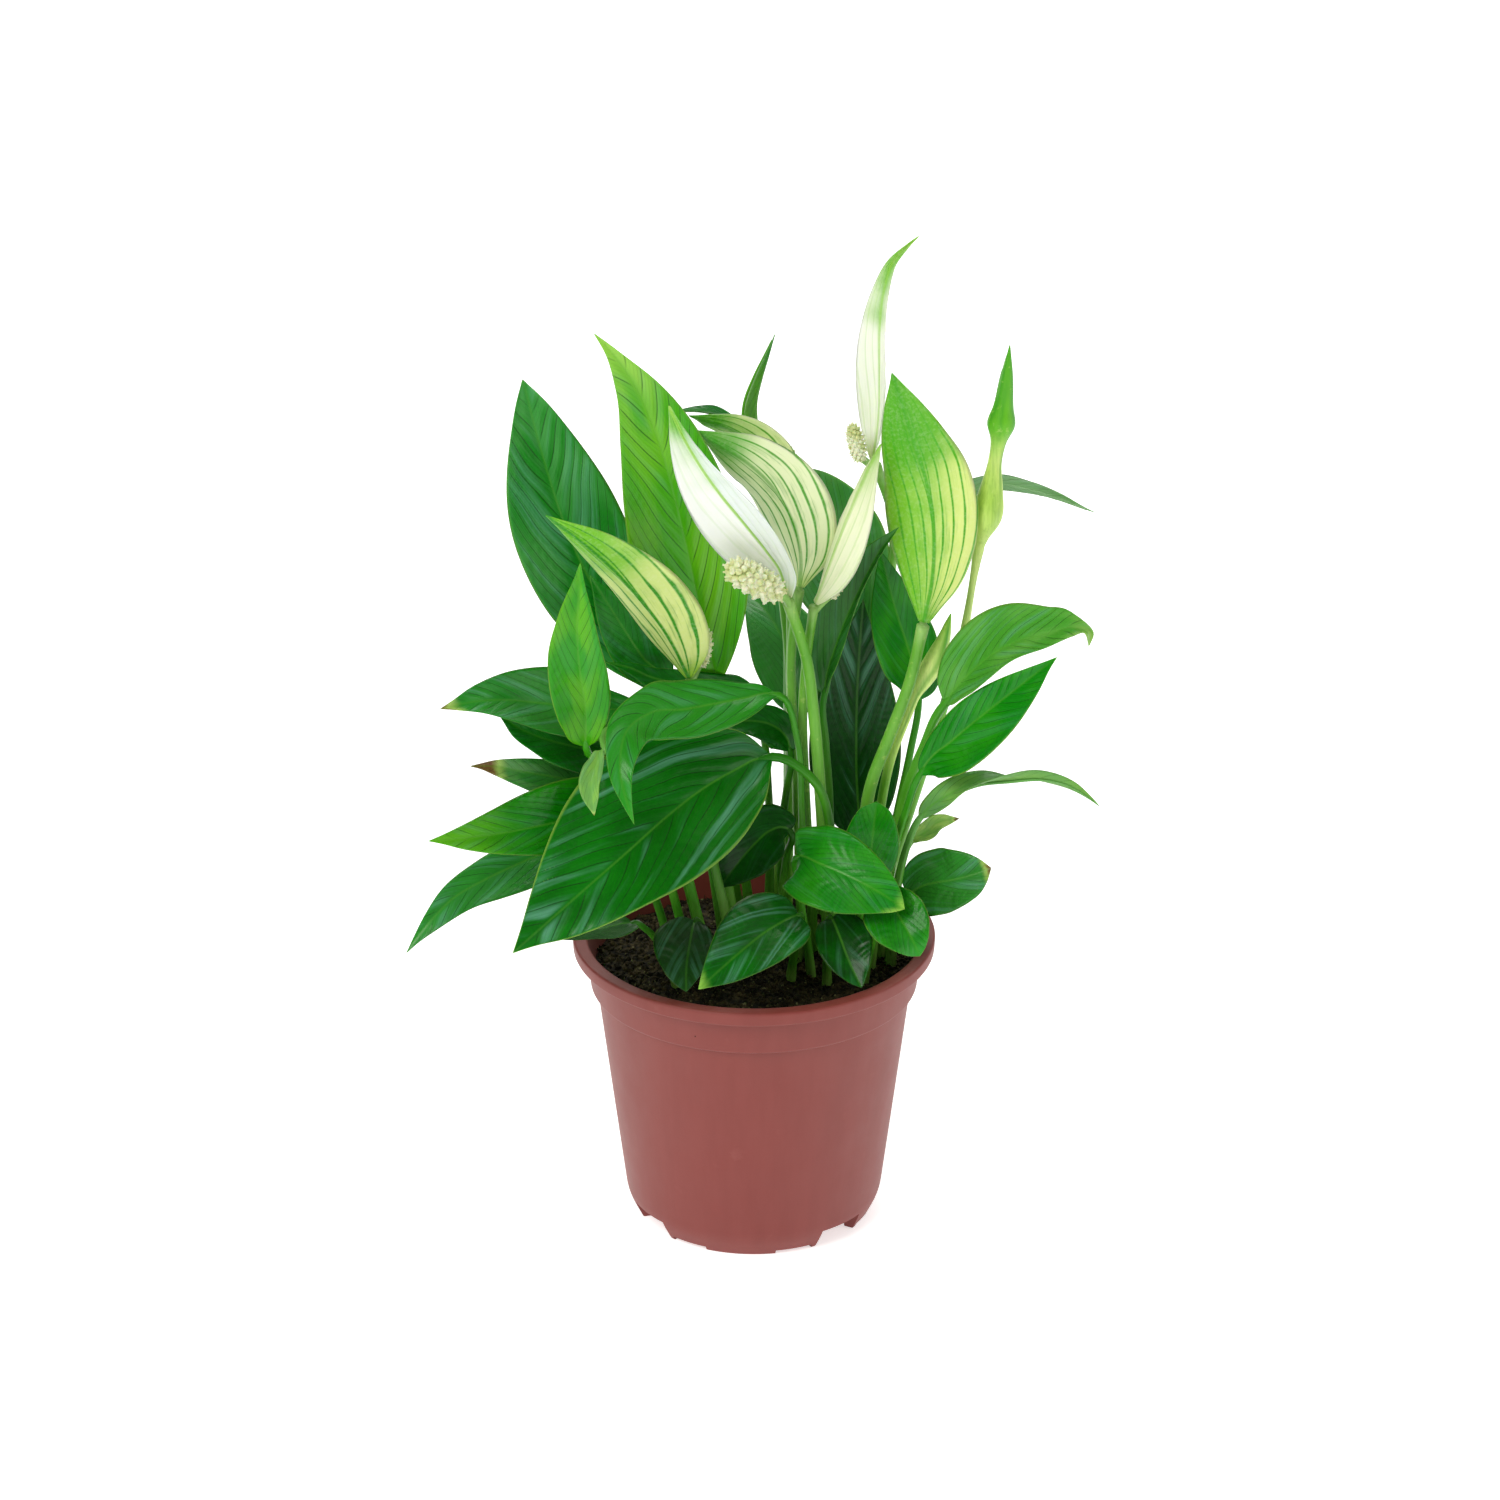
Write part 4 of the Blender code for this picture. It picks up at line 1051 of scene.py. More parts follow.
def socket_id(tree, name):
    """The identifier of a tree's named input."""
    for item in tree.interface.items_tree:
        if item.item_type == "SOCKET" and item.in_out == "INPUT" and item.name == name:
            return item.identifier
    raise ValueError("the tree has no input named " + name)


def new_geometry_tree(name, inputs):
    """A geometry tree with named inputs; returns the tree and a Wire for each input."""
    tree = bpy.data.node_groups.new(name, "GeometryNodeTree")
    tree.interface.new_socket("Geometry", in_out="INPUT", socket_type="NodeSocketGeometry")
    for label, kind in inputs:
        tree.interface.new_socket(label, in_out="INPUT", socket_type=kind)
    tree.interface.new_socket("Geometry", in_out="OUTPUT", socket_type="NodeSocketGeometry")
    entry = tree.nodes.new("NodeGroupInput")
    wires = {socket.name: Wire(tree, socket) for socket in entry.outputs if socket.name}
    return tree, wires


def close_tree(tree, result):
    """Join the result to the tree's output."""
    leaving = tree.nodes.new("NodeGroupOutput")
    tree.links.new(result.socket, leaving.inputs[0])


def baked(piece, tree, values, name):
    """Run a geometry tree on an object and keep the result as a plain mesh."""
    run = piece.modifiers.new("grow", "NODES")
    run.node_group = tree
    for label, value in values.items():
        run[socket_id(tree, label)] = value
    graph = bpy.context.evaluated_depsgraph_get()
    mesh = bpy.data.meshes.new_from_object(piece.evaluated_get(graph))
    mesh.name = name
    piece.modifiers.clear()
    old = piece.data
    piece.data = mesh
    bpy.data.meshes.remove(old)
    return piece


def spike_tree(finish):
    """Florets on a spiral round a core along +Z."""
    tree, given = new_geometry_tree("florets_on_a_spiral", (
        ("Florets", "NodeSocketInt"), ("Length", "NodeSocketFloat"),
        ("Radius", "NodeSocketFloat"), ("Floret", "NodeSocketFloat"),
        ("Seed", "NodeSocketInt")))
    start = given["Geometry"]
    line = start.node("GeometryNodeMeshLine", {"mode": "OFFSET"},
                      {"Count": given["Florets"], "Offset": (0.0, 0.0, 0.0)})
    index = start.node("GeometryNodeInputIndex")
    share = (index + 0.5).math("DIVIDE", given["Florets"])
    bulge = 1.0 - (share * 2.0 - 1.0).math("ABSOLUTE").math("POWER", 3.2) * 0.62
    reach = given["Radius"] * bulge
    turn = index * GOLDEN_ANGLE
    spot = start.vector(turn.math("COSINE") * reach, turn.math("SINE") * reach,
                        share * given["Length"])
    set_out = start.node("GeometryNodeSetPosition", None, {"Geometry": line, "Position": spot})
    bead = start.node("GeometryNodeMeshUVSphere", None,
                      {"Segments": 7, "Rings": 5, "Radius": given["Floret"]})
    peg = start.node("GeometryNodeMeshCylinder", None,
                     {"Vertices": 6, "Radius": given["Floret"] * 0.3,
                      "Depth": given["Floret"] * 3.0})
    bud = start.node("GeometryNodeJoinGeometry", None, {"Geometry": bead})
    tree.links.new(peg.socket, bud.socket.node.inputs[0])
    jitter = start.node("FunctionNodeRandomValue", {"data_type": "FLOAT"},
                        {"Min_001": 0.82, "Max_001": 1.16, "Seed": given["Seed"]}, "Value_001")
    outward = start.vector(turn.math("COSINE"), turn.math("SINE"), share * 1.6 - 0.6)
    lean = start.node("FunctionNodeAlignEulerToVector", {"axis": "Z"}, {"Vector": outward})
    held = start.node("GeometryNodeInstanceOnPoints", None,
                      {"Points": set_out, "Instance": bud, "Scale": jitter, "Rotation": lean})
    core = start.node("GeometryNodeMeshUVSphere", None,
                      {"Segments": 20, "Rings": 14, "Radius": 1.0})
    stretch = start.vector(given["Radius"], given["Radius"], given["Length"] * 0.5)
    middle = start.vector(z=given["Length"] * 0.5)
    body = start.node("GeometryNodeTransform", None,
                      {"Geometry": core, "Scale": stretch, "Translation": middle})
    real = start.node("GeometryNodeRealizeInstances", None, {"Geometry": held})
    both = start.node("GeometryNodeJoinGeometry", None, {"Geometry": real})
    tree.links.new(body.socket, both.socket.node.inputs[0])
    smooth = start.node("GeometryNodeSetShadeSmooth", None, {"Geometry": both})
    close_tree(tree, start.node("GeometryNodeSetMaterial", None,
                                {"Geometry": smooth, "Material": finish}))
    return tree


def grow_spike(flower, seed, tree):
    """The knobbly spike of one flower, turned to lie along its CAD solid."""
    foot, tip, radius = spike_ends(flower)
    length = float(np.linalg.norm(tip - foot))
    piece = placed(flower + "_spike", bpy.data.meshes.new(flower + "_spike"))
    floret = max(0.5 * MM, radius * 0.27)
    florets = int(3.0 * length * radius / (floret * floret) * 0.42)
    baked(piece, tree, {"Florets": florets, "Length": length * 0.97,
                        "Radius": radius * 0.86, "Floret": floret, "Seed": seed},
          flower + "_spike")
    way = Vector(tip - foot).normalized()
    turn = Vector((0.0, 0.0, 1.0)).rotation_difference(way).to_matrix().to_4x4()
    turn.translation = Vector(foot)
    piece.data.transform(turn)
    settle(piece, "spadix_cream", flower + "_spadix")
    return piece


# how each bud is coloured: (share of its length, colour) from foot to tip
BUDS = {
    "bud_1": ((0.0, STEM), (0.46, paint(104, 172, 50)), (0.54, paint(196, 220, 128)),
              (0.66, paint(206, 226, 132)), (0.76, paint(176, 212, 84)),
              (0.82, paint(198, 222, 116)), (0.87, paint(98, 180, 14)),
              (1.0, paint(70, 160, 4))),
    "bud_2": ((0.0, STEM), (0.5, paint(130, 196, 56)), (0.62, paint(206, 236, 116)),
              (0.85, paint(220, 240, 140)), (1.0, paint(122, 190, 30))),
}


def grow_bud(node, stops, seed, finish, slot):
    """A hood still rolled shut on its stalk, with the rolled edge winding up it."""
    rings, tip = loft_rings(node)
    spots, size = stalk_path(rings)
    spots = np.concatenate([spots, [tip]])
    size = np.append(size, BUD_TIP)
    knots = measured(spots)
    at = np.linspace(0.0, knots[-1] * 0.999, 150)
    share = at / knots[-1]
    path = flow(knots, spots, at)
    thick = np.maximum(flow(knots, size, at), BUD_TIP)
    rows = tube(path, thick, FRONT, BUD_SIDES)
    middle = rows.mean(axis=1, keepdims=True)
    turn = np.arange(BUD_SIDES)[None, :] / BUD_SIDES
    wound = np.mod(turn - share[:, None] * 1.6 + seed, 1.0)
    rolled = ease(0.55, 0.68, share)[:, None]
    swell = 1.0 + rolled * (0.16 * (1.0 - ease(0.0, 0.9, wound)) - 0.05)
    rows = middle + (rows - middle) * swell[..., None]
    places = [place for place, _ in stops]
    colour = np.stack([np.interp(share, places, [tone[k] for _, tone in stops])
                       for k in range(3)], axis=-1)
    field = round_the_stalk(colour, rows)
    seam = rolled * (1.0 - ease(0.0, 0.12, np.minimum(wound, 1.0 - wound)))
    streaks = np.array([[noise.noise(Vector((7.0 * k / BUD_SIDES, s * 6.0, seed * 3.0)))
                         for k in range(BUD_SIDES)] for s in share])
    field = mixed(field, LEAFY, rolled * ease(0.1, 0.4, streaks) * 0.6 + seam * 0.2)
    skin = Skin()
    skin.shell(rows, {"blade_colour": field}, tip)
    piece = skin.build(node + "_rolled", finish)
    settle(piece, slot, node)
    return piece


# ---- peat and pot -----------------------------------------------------------------------
PEAT_RINGS = 26
PEAT_SIDES = 96
PEAT_RADIUS = 52.8 * MM
# how far the body is drawn in under the rim of the crown, as a share of its radius
PEAT_TUCK = 0.998


def crumb_tree(plain, pale):
    """Lumps, slivers and pale grit strewn over the upward faces of a surface."""
    tree, given = new_geometry_tree("crumbs_on_peat", (
        ("Lumps", "NodeSocketFloat"), ("Lump Size", "NodeSocketFloat"),
        ("Slivers", "NodeSocketFloat"), ("Sliver Length", "NodeSocketFloat"),
        ("Grit", "NodeSocketFloat"), ("Grit Size", "NodeSocketFloat"),
        ("Seed", "NodeSocketInt")))
    start = given["Geometry"]
    facing = start.node("ShaderNodeSeparateXYZ", None,
                        {"Vector": start.node("GeometryNodeInputNormal")}, "Z")
    upward = start.node("FunctionNodeCompare", {"data_type": "FLOAT"},
                        {"A": facing, "B": 0.6})

    def strewn(density, size, shape, squeeze, seed, finish):
        """One kind of crumb: how many, how big, of what shape and how unevenly squeezed."""
        spots = start.node("GeometryNodeDistributePointsOnFaces", None,
                           {"Mesh": start, "Selection": upward, "Density": density,
                            "Seed": given["Seed"] + seed})
        grow = start.node("FunctionNodeRandomValue", {"data_type": "FLOAT_VECTOR"},
                          {"Min": squeeze[0], "Max": squeeze[1], "Seed": seed}, "Value")
        scale = start.node("ShaderNodeVectorMath", {"operation": "SCALE"},
                           {"Vector": grow, "Scale": size})
        spin = start.node("FunctionNodeRandomValue", {"data_type": "FLOAT_VECTOR"},
                          {"Min": (-3.1, -3.1, -3.1), "Max": (3.1, 3.1, 3.1),
                           "Seed": seed + 1}, "Value")
        held = start.node("GeometryNodeInstanceOnPoints", None,
                          {"Points": spots, "Instance": shape, "Scale": scale,
                           "Rotation": spin})
        real = start.node("GeometryNodeRealizeInstances", None, {"Geometry": held})
        return start.node("GeometryNodeSetMaterial", None,
                          {"Geometry": real, "Material": finish})

    lump = start.node("GeometryNodeMeshIcoSphere", None, {"Radius": 1.0, "Subdivisions": 1})
    sliver = start.node("GeometryNodeMeshCylinder", None,
                        {"Vertices": 5, "Radius": 0.11, "Depth": 2.0})
    kinds = (
        strewn(given["Lumps"], given["Lump Size"], lump,
               ((0.3, 0.3, 0.2), (1.25, 1.1, 0.9)), 3, plain),
        strewn(given["Slivers"], given["Sliver Length"], sliver,
               ((0.6, 0.6, 0.4), (1.3, 1.3, 1.3)), 11, plain),
        strewn(given["Grit"], given["Grit Size"], lump,
               ((0.4, 0.4, 0.3), (1.2, 1.0, 0.9)), 23, pale),
    )
    both = start.node("GeometryNodeJoinGeometry", None, {"Geometry": start})
    for kind in kinds:
        tree.links.new(kind.socket, both.socket.node.inputs[0])
    close_tree(tree, both)
    return tree


def lay_peat(settings):
    """The ball of peat: an uneven crown strewn with crumbs, and a plain body below it."""
    low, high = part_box("soil")
    pot_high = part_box("pot")[1]
    top = high.z
    plain = peat_finish("peat", settings.dark_colour, settings.light_colour, PEAT_GRAIN)
    pale = peat_finish("peat_grit", GRIT_DARK, GRIT_LIGHT, GRIT_GRAIN)
    rows = []
    for n in range(PEAT_RINGS):
        share = (n + 1) / PEAT_RINGS
        reach = PEAT_RADIUS * share
        ring = []
        for k in range(PEAT_SIDES):
            turn = 2.0 * math.pi * k / PEAT_SIDES
            x = reach * math.cos(turn)
            y = reach * math.sin(turn)
            lift = noise.noise(Vector((x * 90.0, y * 90.0, 0.5))) * 1.1 * MM
            lift += noise.noise(Vector((x * 320.0, y * 320.0, 2.5))) * 0.5 * MM
            lift -= 1.6 * MM * share ** 6
            ring.append((x, y, top - 0.6 * MM + lift))
        rows.append(ring)
    down = ((0.99, top - 5.0 * MM), (0.95, top - 8.5 * MM),
            (0.84, low.z + 30.0 * MM), (0.762, low.z + 0.5 * MM))
    for share, z in down:
        rows.append([(x * share * PEAT_TUCK, y * share * PEAT_TUCK, z)
                     for x, y, _ in rows[PEAT_RINGS - 1]])
    skin = Skin()
    skin.shell(np.array(rows), {"peat": 0.0})
    piece = skin.build("peat_ball", plain)
    baked(piece, crumb_tree(plain, pale),
          {"Lumps": settings.lumps, "Lump Size": settings.lump_size,
           "Slivers": settings.slivers, "Sliver Length": settings.sliver_length,
           "Grit": settings.grit, "Grit Size": settings.grit_size,
           "Seed": settings.seed}, "peat_ball")
    settle(piece, "peat", "soil")
    if pot_high.z < top:
        raise ValueError("the peat stands above the pot")
    return piece


# radii and heights of the pot, mm, besides the lip's own, which the frame gives
POT_TURN = 192
BODY_TOP = 52.0
BODY_LOW = 42.4
COLLAR = 54.0
COLLAR_BOTTOM = 82.5
LIP_DEPTH = 4.8
FOOT_HEIGHT = 7.0
FOOT_OUTER = 38.9
FOOT_INNER = 35.6
FLOOR_CORNER = 40.7
FLOOR_LOW = 7.4
FLOOR_HIGH = 9.0
# the foot arcs: middle, half the arc, half the arc of the pad; degrees from -Y towards +X
FEET = ((-6.6, 34.5, 16.6), (83.4, 22.1, 10.0), (173.4, 34.5, 16.6), (263.4, 22.1, 10.0))
PAD_HEIGHT = 1.5
FOOT_SPREAD = 5.0
# height that the cutters start from, under the floor
BELOW = -5.0
# where the outer drain holes stand round the ring, degrees
DRAIN_TURNS = (45.0, 135.0, 225.0, 315.0)


def rounded(points, steps=5):
    """A profile with its corners rounded: points are (radius, height, fillet)."""
    made = []
    for n, (x, z, fillet) in enumerate(points):
        here = Vector((x, z))
        if fillet == 0.0 or n in (0, len(points) - 1):
            made.append(here)
            continue
        back = Vector(points[n - 1][:2]) - here
        on = Vector(points[n + 1][:2]) - here
        first = here + back.normalized() * min(fillet, back.length * 0.48)
        last = here + on.normalized() * min(fillet, on.length * 0.48)
        for k in range(steps + 1):
            t = k / steps
            made.append(first * (1 - t) ** 2 + here * (2 * t * (1 - t)) + last * t ** 2)
    return made


def sector(name, start, stop, low, high, ease_in):
    """A cutter between two angles round the pot, narrower towards its top."""
    bm = bmesh.new()
    number = 10
    grid = []
    for height, tuck in ((low, 0.0), (high, ease_in)):
        for radius in (18.0, 60.0):
            line = []
            for k in range(number + 1):
                angle = start + tuck + (stop - start - 2.0 * tuck) * k / number
                turn = math.radians(angle - 90.0)
                line.append(bm.verts.new((radius * math.cos(turn) * MM,
                                          radius * math.sin(turn) * MM, height * MM)))
            grid.append(line)
    near_low, far_low, near_high, far_high = grid
    for k in range(number):
        for a, b in ((near_low, far_low), (far_low, far_high), (far_high, near_high),
                     (near_high, near_low)):
            bm.faces.new((a[k], b[k], b[k + 1], a[k + 1]))
    for k in (0, number):
        bm.faces.new((near_low[k], near_high[k], far_high[k], far_low[k]))
    bmesh.ops.recalc_face_normals(bm, faces=bm.faces)
    return placed(name, finished_mesh(name, bm))


def mould_pot(settings):
    """The pot: one turned shell with soft edges, foot arcs, pads and drain holes."""
    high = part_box("pot")[1]
    lip = high.x / MM
    top = high.z / MM
    wall = settings.wall / MM
    profile = rounded((
        (0.0, FLOOR_HIGH, 0.0),
        (FLOOR_CORNER, FLOOR_HIGH, 2.0),
        (BODY_TOP - wall, COLLAR_BOTTOM, 0.6),
        (COLLAR - wall, COLLAR_BOTTOM + wall, 0.8),
        (lip - 5.6, top - LIP_DEPTH, 0.8),
        (lip - 4.7, top, 0.9),
        (lip, top, 1.1),
        (lip - 0.3, top - LIP_DEPTH, 0.7),
        (lip - 4.3, top - LIP_DEPTH - 0.1, 0.6),
        (COLLAR, COLLAR_BOTTOM, 0.8),
        (BODY_TOP, COLLAR_BOTTOM - 0.5, 0.5),
        (BODY_LOW, FOOT_HEIGHT, 3.0),
        (FOOT_OUTER, 0.0, 0.4),
        (FOOT_INNER, 0.0, 0.4),
        (FOOT_INNER, FLOOR_LOW, 0.0),
        (0.0, FLOOR_LOW, 0.0),
    ))
    bm = bmesh.new()
    verts = [bm.verts.new((p.x * MM, 0.0, p.y * MM)) for p in profile]
    edges = [bm.edges.new(pair) for pair in zip(verts, verts[1:])]
    bmesh.ops.spin(bm, geom=verts + edges, cent=(0, 0, 0), axis=(0, 0, 1),
                   angle=2.0 * math.pi, steps=POT_TURN, use_merge=True)
    bmesh.ops.remove_doubles(bm, verts=bm.verts, dist=0.00002)
    bmesh.ops.recalc_face_normals(bm, faces=bm.faces)
    pot = placed("pot_shell", finished_mesh("pot_shell", bm))
    cutters = []
    for n, (middle, half, pad) in enumerate(FEET):
        following, next_half, _ = FEET[(n + 1) % len(FEET)]
        following += 360.0 if following < middle else 0.0
        cutters.append(sector("notch", middle + half, following - next_half, BELOW,
                              FLOOR_LOW - 0.6, FOOT_SPREAD))
        for start, stop in ((middle - half - 2.0, middle - pad),
                            (middle + pad, middle + half + 2.0)):
            cutters.append(sector("pad", start, stop, BELOW, PAD_HEIGHT, 0.6))
    spots = [(0.0, 0.0)]
    spots += [(settings.drain_ring * math.cos(math.radians(turn)),
               settings.drain_ring * math.sin(math.radians(turn))) for turn in DRAIN_TURNS]
    for x, y in spots:
        bm = bmesh.new()
        bmesh.ops.create_cone(bm, cap_ends=True, segments=40, radius1=settings.drain_radius,
                              radius2=settings.drain_radius, depth=12.0 * MM)
        bmesh.ops.translate(bm, vec=(x, y, FLOOR_LOW * MM), verts=bm.verts)
        cutters.append(placed("drain", finished_mesh("drain", bm)))
    for cutter in cutters:
        cut = pot.modifiers.new("cut", "BOOLEAN")
        cut.operation = "DIFFERENCE"
        cut.solver = "EXACT"
        cut.object = cutter
    graph = bpy.context.evaluated_depsgraph_get()
    shaped = bpy.data.meshes.new_from_object(pot.evaluated_get(graph))
    pot.modifiers.clear()
    pot.data = shaped
    for cutter in cutters:
        bpy.data.objects.remove(cutter)
    shaped.polygons.foreach_set("use_smooth", [True] * len(shaped.polygons))
    shaped.set_sharp_from_angle(angle=math.radians(32.0))
    shaped.materials.clear()
    shaped.materials.append(pot_finish("terracotta_plastic", settings.colour,
                                       settings.worn_colour))
    settle(pot, "terracotta_plastic", "pot")
    return pot


# ---- stage ------------------------------------------------------------------------------
WHITE = (1.0, 1.0, 1.0, 1.0)
FLOOR_HALF = 6.0
AIM = Vector((-0.0013, 0.0, 0.1663))


def soft_light(name, spot, aim, size, power, colour):
    """A square soft box turned to its aim."""
    data = bpy.data.lights.new(name, "AREA")
    data.shape = "RECTANGLE"
    data.size, data.size_y = size
    data.energy = power
    data.color = colour
    lamp = placed(name, data)
    lamp.location = spot
    lamp.rotation_euler = (Vector(aim) - Vector(spot)).to_track_quat("-Z", "Y").to_euler()


def set_stage(settings):
    """Pale floor, white surroundings, soft boxes and the camera."""
    scene = bpy.context.scene
    scene.view_settings.view_transform = "Standard"
    bm = bmesh.new()
    bmesh.ops.create_grid(bm, x_segments=1, y_segments=1, size=FLOOR_HALF)
    floor = placed("floor", finished_mesh("floor", bm))
    pale = {"Base Color": (0.93, 0.93, 0.93, 1.0), "Roughness": 0.9,
            "Specular IOR Level": 0.1, "Emission Color": WHITE,
            "Emission Strength": settings.floor_glow}
    floor.data.materials.append(material("floor", pale, lambda wire: {}))

    world = bpy.data.worlds.new("studio")
    world.use_nodes = True
    scene.world = world
    tree = world.node_tree
    tree.nodes.clear()
    start = Wire(tree)
    path = tree.nodes.new("ShaderNodeLightPath")
    seen = Wire(tree, path.outputs["Is Camera Ray"])
    shiny = Wire(tree, path.outputs["Is Glossy Ray"])
    strength = settings.fill + seen * (1.0 - settings.fill)
    strength = strength - shiny * (settings.fill - settings.reflection)
    sky = start.node("ShaderNodeBackground", None,
                     {"Color": WHITE, "Strength": strength})
    leaving = tree.nodes.new("ShaderNodeOutputWorld")
    tree.links.new(sky.socket, leaving.inputs["Surface"])

    middle = ((CAD_BOX[0][0] + CAD_BOX[1][0]) / 2, (CAD_BOX[0][1] + CAD_BOX[1][1]) / 2,
              CAD_BOX[1][2] * 0.55)
    for name, spot, size, power, blue in (
            ("key", (-1.1, -1.3, 1.7), (1.2, 1.2), settings.key, 0.95),
            ("side", (1.6, -0.5, 0.9), (0.9, 1.4), settings.side, 0.96),
            ("back", (0.2, 1.3, 1.5), (1.8, 0.7), settings.back, 0.96)):
        soft_light(name, spot, middle, size, power, (1.0, 1.0, blue))

    tilt = math.radians(settings.camera_height)
    view = bpy.data.cameras.new("camera")
    view.sensor_width = 36.0
    view.lens = settings.lens
    view.clip_end = 50.0
    camera = placed("camera", view)
    camera.location = AIM + settings.distance * Vector((0.0, -math.cos(tilt), math.sin(tilt)))
    camera.rotation_euler = (math.pi / 2 - tilt, 0.0, 0.0)
    scene.camera = camera


# ---- settings, operators and panel ------------------------------------------------------
def length_setting(name, description, default):
    """A length in the panel, metres."""
    return bpy.props.FloatProperty(name=name, description=description, default=default,
                                   unit="LENGTH")


def number_setting(name, description, default, **limits):
    """A plain number in the panel."""
    return bpy.props.FloatProperty(name=name, description=description, default=default,
                                   **limits)


def colour_setting(name, description, default):
    """A colour swatch in the panel."""
    return bpy.props.FloatVectorProperty(name=name, description=description, default=default,
                                         subtype="COLOR", size=3, min=0.0, max=1.0)


class LeafSettings(bpy.types.PropertyGroup):
    """Colours that all the leaves share."""
    # painted sheen: the pale highlight colour that is painted between the veins
    sheen_paint: colour_setting("Painted_highlight", "Waxy sheen between the veins", PAINTED_SHEEN)
    rib: colour_setting("Rib", "Middle rib of each blade", RIB)


class FlowerSettings(bpy.types.PropertyGroup):
    """Colours of the flower spikes."""
    spike_light: colour_setting("Spike", "Florets of the spike", paint(238, 238, 208))
    spike_shade: colour_setting("Spike shade", "Greener florets", paint(206, 214, 150))


class PeatSettings(bpy.types.PropertyGroup):
    """What is strewn over the peat."""
    lumps: number_setting("Lumps", "Lumps per square metre", 300000.0, min=0.0)
    lump_size: length_setting("Lump size", "Half a lump's length", 0.00135)
    slivers: number_setting("Slivers", "Fibres per square metre", 60000.0, min=0.0)
    sliver_length: length_setting("Sliver length", "Half a fibre's length", 0.0022)
    grit: number_setting("Grit", "Pale grains per square metre", 60000.0, min=0.0)
    grit_size: length_setting("Grit size", "Half a grain's length", 0.0007)
    seed: bpy.props.IntProperty(name="Seed", description="Arrangement of the crumbs",
                                default=4)
    dark_colour: colour_setting("Dark peat", "Damp peat", paint(18, 15, 7))
    light_colour: colour_setting("Light peat", "Drier crumbs", paint(72, 62, 34))


class PotSettings(bpy.types.PropertyGroup):
    """The pot's wall, drain holes and plastic."""
    wall: length_setting("Wall", "Thickness of the moulded wall", 0.0013)
    drain_radius: length_setting("Drain radius", "Radius of each drain hole", 0.0045)
    drain_ring: length_setting("Drain ring", "Radius of the ring of drain holes", 0.024)
    colour: colour_setting("Colour", "Moulded plastic", paint(126, 49, 42))
    worn_colour: colour_setting("Worn colour", "Paler flow marks", paint(130, 53, 46))


class StageSettings(bpy.types.PropertyGroup):
    """The camera, the lights and the white surroundings."""
    camera_height: number_setting("Camera height", "Degrees above the horizon", 24.9)
    distance: length_setting("Distance", "Camera to plant", 2.4)
    lens: number_setting("Lens", "Focal length in millimetres", 176.3)
    fill: number_setting("Fill", "Brightness of the surroundings", 0.28)
    reflection: number_setting("Reflection", "Surroundings as glossy surfaces see them", 0.1)
    floor_glow: number_setting("Floor glow", "How far the floor is lifted to white", 0.6)
    key: number_setting("Key", "Power of the key light in watts", 33.0)
    side: number_setting("Side", "Power of the side light in watts", 8.0)
    back: number_setting("Back", "Power of the back light in watts", 17.0)


def recorded_slots():
    """The material slot that the record gives each node."""
    return {part["node"]: part["material_slot"] for part in frame["record"]["subparts"]}


class LILY_OT_pot(bpy.types.Operator):
    """Mould the pot"""
    bl_idname = "lily.pot"
    bl_label = "Mould Pot"

    def execute(self, context):
        mould_pot(context.scene.lily_pot)
        return {"FINISHED"}


class LILY_OT_peat(bpy.types.Operator):
    """Lay the peat and its crumbs"""
    bl_idname = "lily.peat"
    bl_label = "Lay Peat"

    def execute(self, context):
        lay_peat(context.scene.lily_peat)
        return {"FINISHED"}


class LILY_OT_leaves(bpy.types.Operator):
    """Grow every leaf from its CAD loft"""
    bl_idname = "lily.leaves"
    bl_label = "Grow Leaves"

    def execute(self, context):
        wanted = context.scene.lily_leaves
        finishes = {slot: leaf_finish(slot, wanted.sheen_paint, wanted.rib)
                    for slot in ("leaf_deep_green", "leaf_fresh_green")}
        slots = recorded_slots()
        for n, (node, paints) in enumerate(sorted(LEAVES.items())):
            slot = slots[node]
            grow_leaf(node, paints, float(n + 1), finishes[slot], slot)
        return {"FINISHED"}


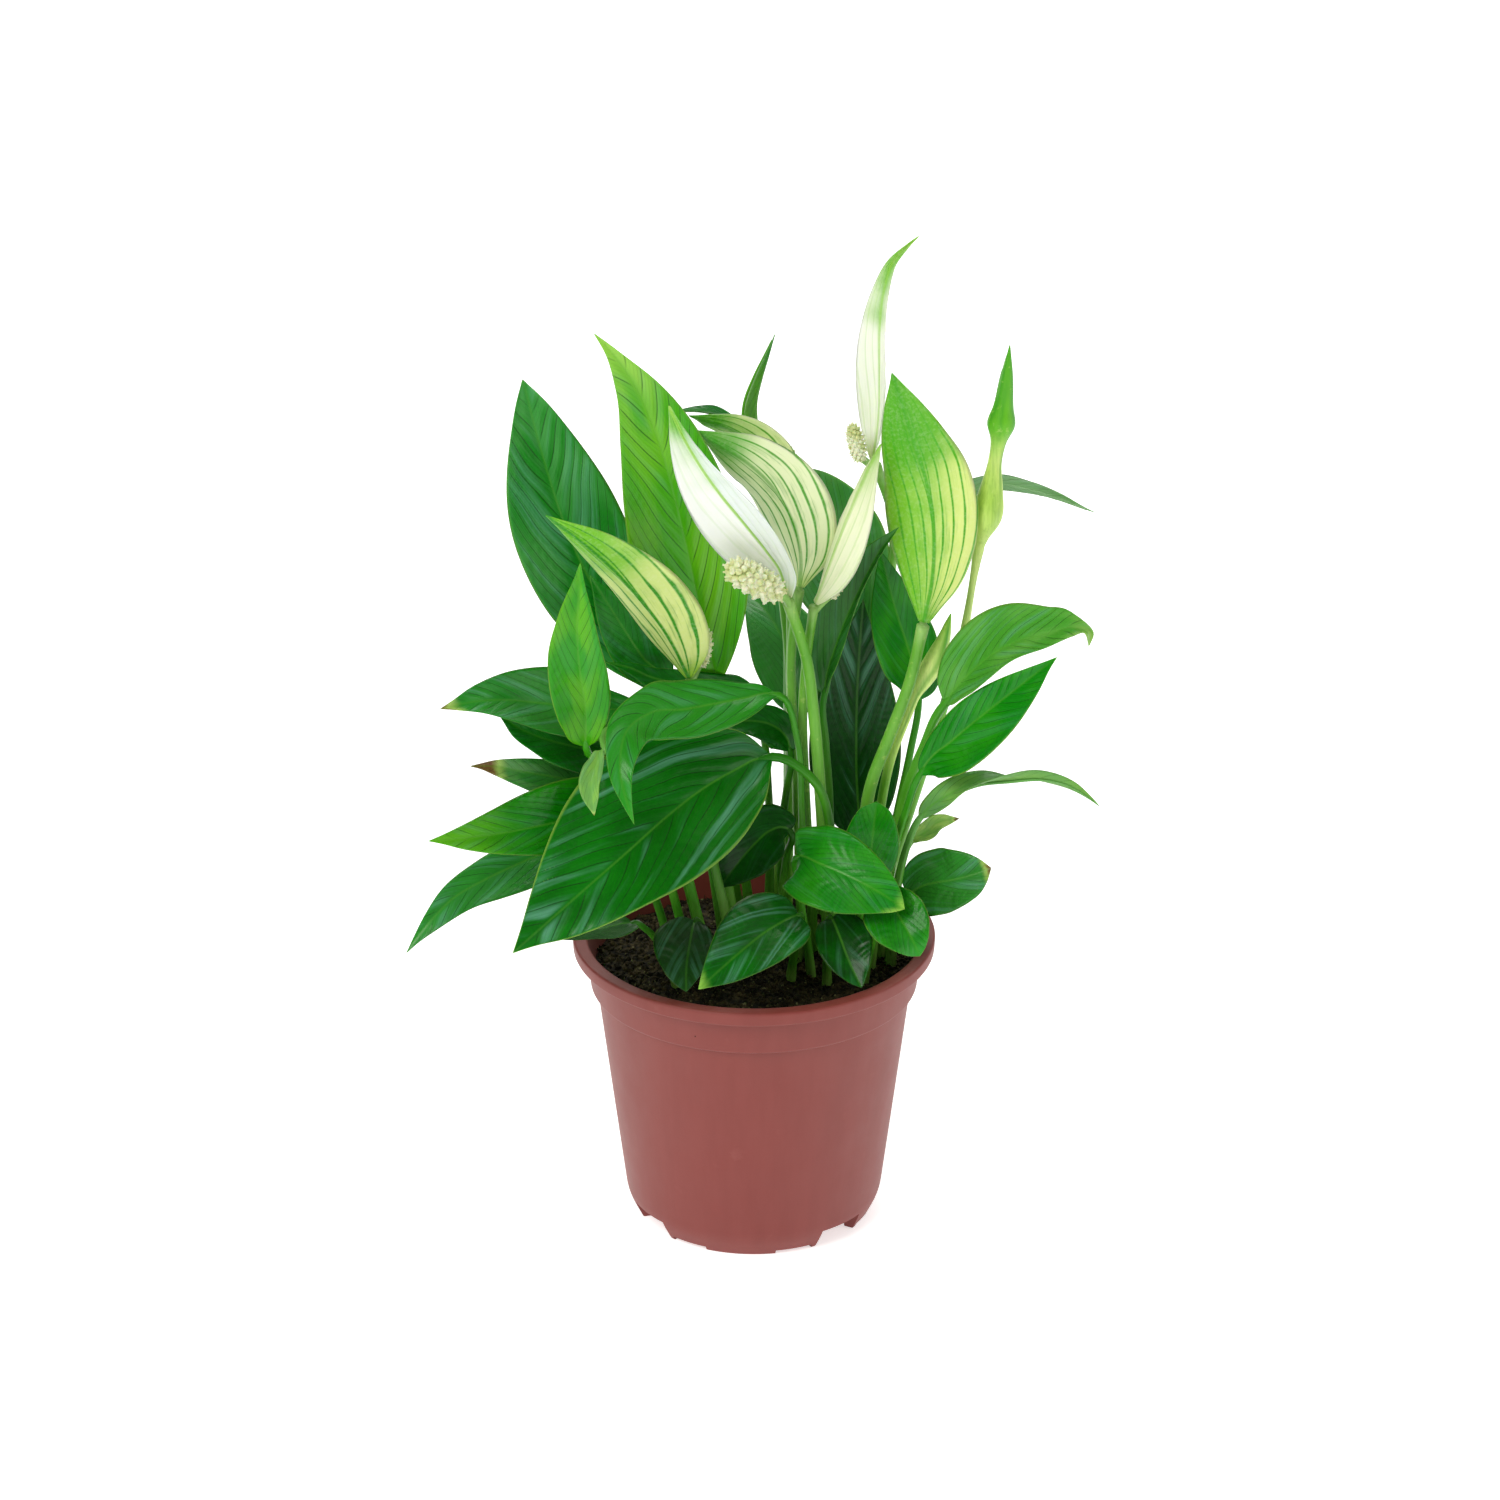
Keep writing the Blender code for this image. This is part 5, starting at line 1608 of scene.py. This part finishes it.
class LILY_OT_flowers(bpy.types.Operator):
    """Grow the flowers: stalk, hood and spike, and the rolled buds"""
    bl_idname = "lily.flowers"
    bl_label = "Grow Flowers"

    def execute(self, context):
        finishes = {slot: hood_finish(slot) for slot in ("spathe_white", "spathe_striped")}
        slots = recorded_slots()
        stalks = stalk_finish("stalk_green")
        wanted = context.scene.lily_flowers
        tree = spike_tree(floret_finish("spadix_cream", wanted.spike_shade,
                                        wanted.spike_light))
        for n, (flower, paints) in enumerate(sorted(HOODS.items())):
            slot = slots[flower + "_spathe"]
            grow_hood(flower, paints, float(n + 1), finishes[slot], slot)
            grow_scape(flower, float(n + 20), stalks)
            grow_spike(flower, n + 1, tree)
        rolled = stalk_finish("bud_green")
        for n, (bud, stops) in enumerate(sorted(BUDS.items())):
            grow_bud(bud, stops, n * 0.3, rolled, slots[bud])
        return {"FINISHED"}


class LILY_OT_stage(bpy.types.Operator):
    """Set the floor, lights and camera"""
    bl_idname = "lily.stage"
    bl_label = "Set Stage"

    def execute(self, context):
        set_stage(context.scene.lily_stage)
        return {"FINISHED"}


class LILY_PT_panel(bpy.types.Panel):
    """Buttons and sizes for the plant"""
    bl_idname = "LILY_PT_panel"
    bl_label = "Peace Lily"
    bl_space_type = "VIEW_3D"
    bl_region_type = "UI"
    bl_category = "Peace Lily"

    def draw(self, context):
        for operator in ("lily.pot", "lily.peat", "lily.leaves", "lily.flowers", "lily.stage"):
            self.layout.operator(operator)
        for group in (getattr(context.scene, name) for name in GROUPS):
            box = self.layout.box()
            for name in group.__annotations__:
                box.prop(group, name)


CLASSES = (PeatSettings, PotSettings, LeafSettings, FlowerSettings, StageSettings,
           LILY_OT_pot, LILY_OT_peat, LILY_OT_leaves, LILY_OT_flowers, LILY_OT_stage,
           LILY_PT_panel)
GROUPS = {"lily_pot": PotSettings, "lily_peat": PeatSettings, "lily_leaves": LeafSettings,
          "lily_flowers": FlowerSettings, "lily_stage": StageSettings}


def register():
    """Add the classes, and one settings group of each kind to the scene."""
    for kind in CLASSES:
        bpy.utils.register_class(kind)
    for name, kind in GROUPS.items():
        setattr(bpy.types.Scene, name, bpy.props.PointerProperty(type=kind))


def unregister():
    """Take away what register added."""
    for name in GROUPS:
        delattr(bpy.types.Scene, name)
    for kind in reversed(CLASSES):
        bpy.utils.unregister_class(kind)


def main():
    """Make the whole plant on its stage."""
    register()
    bpy.ops.lily.stage()
    bpy.ops.lily.pot()
    bpy.ops.lily.peat()
    bpy.ops.lily.leaves()
    bpy.ops.lily.flowers()


if __name__ == "__main__":
    main()
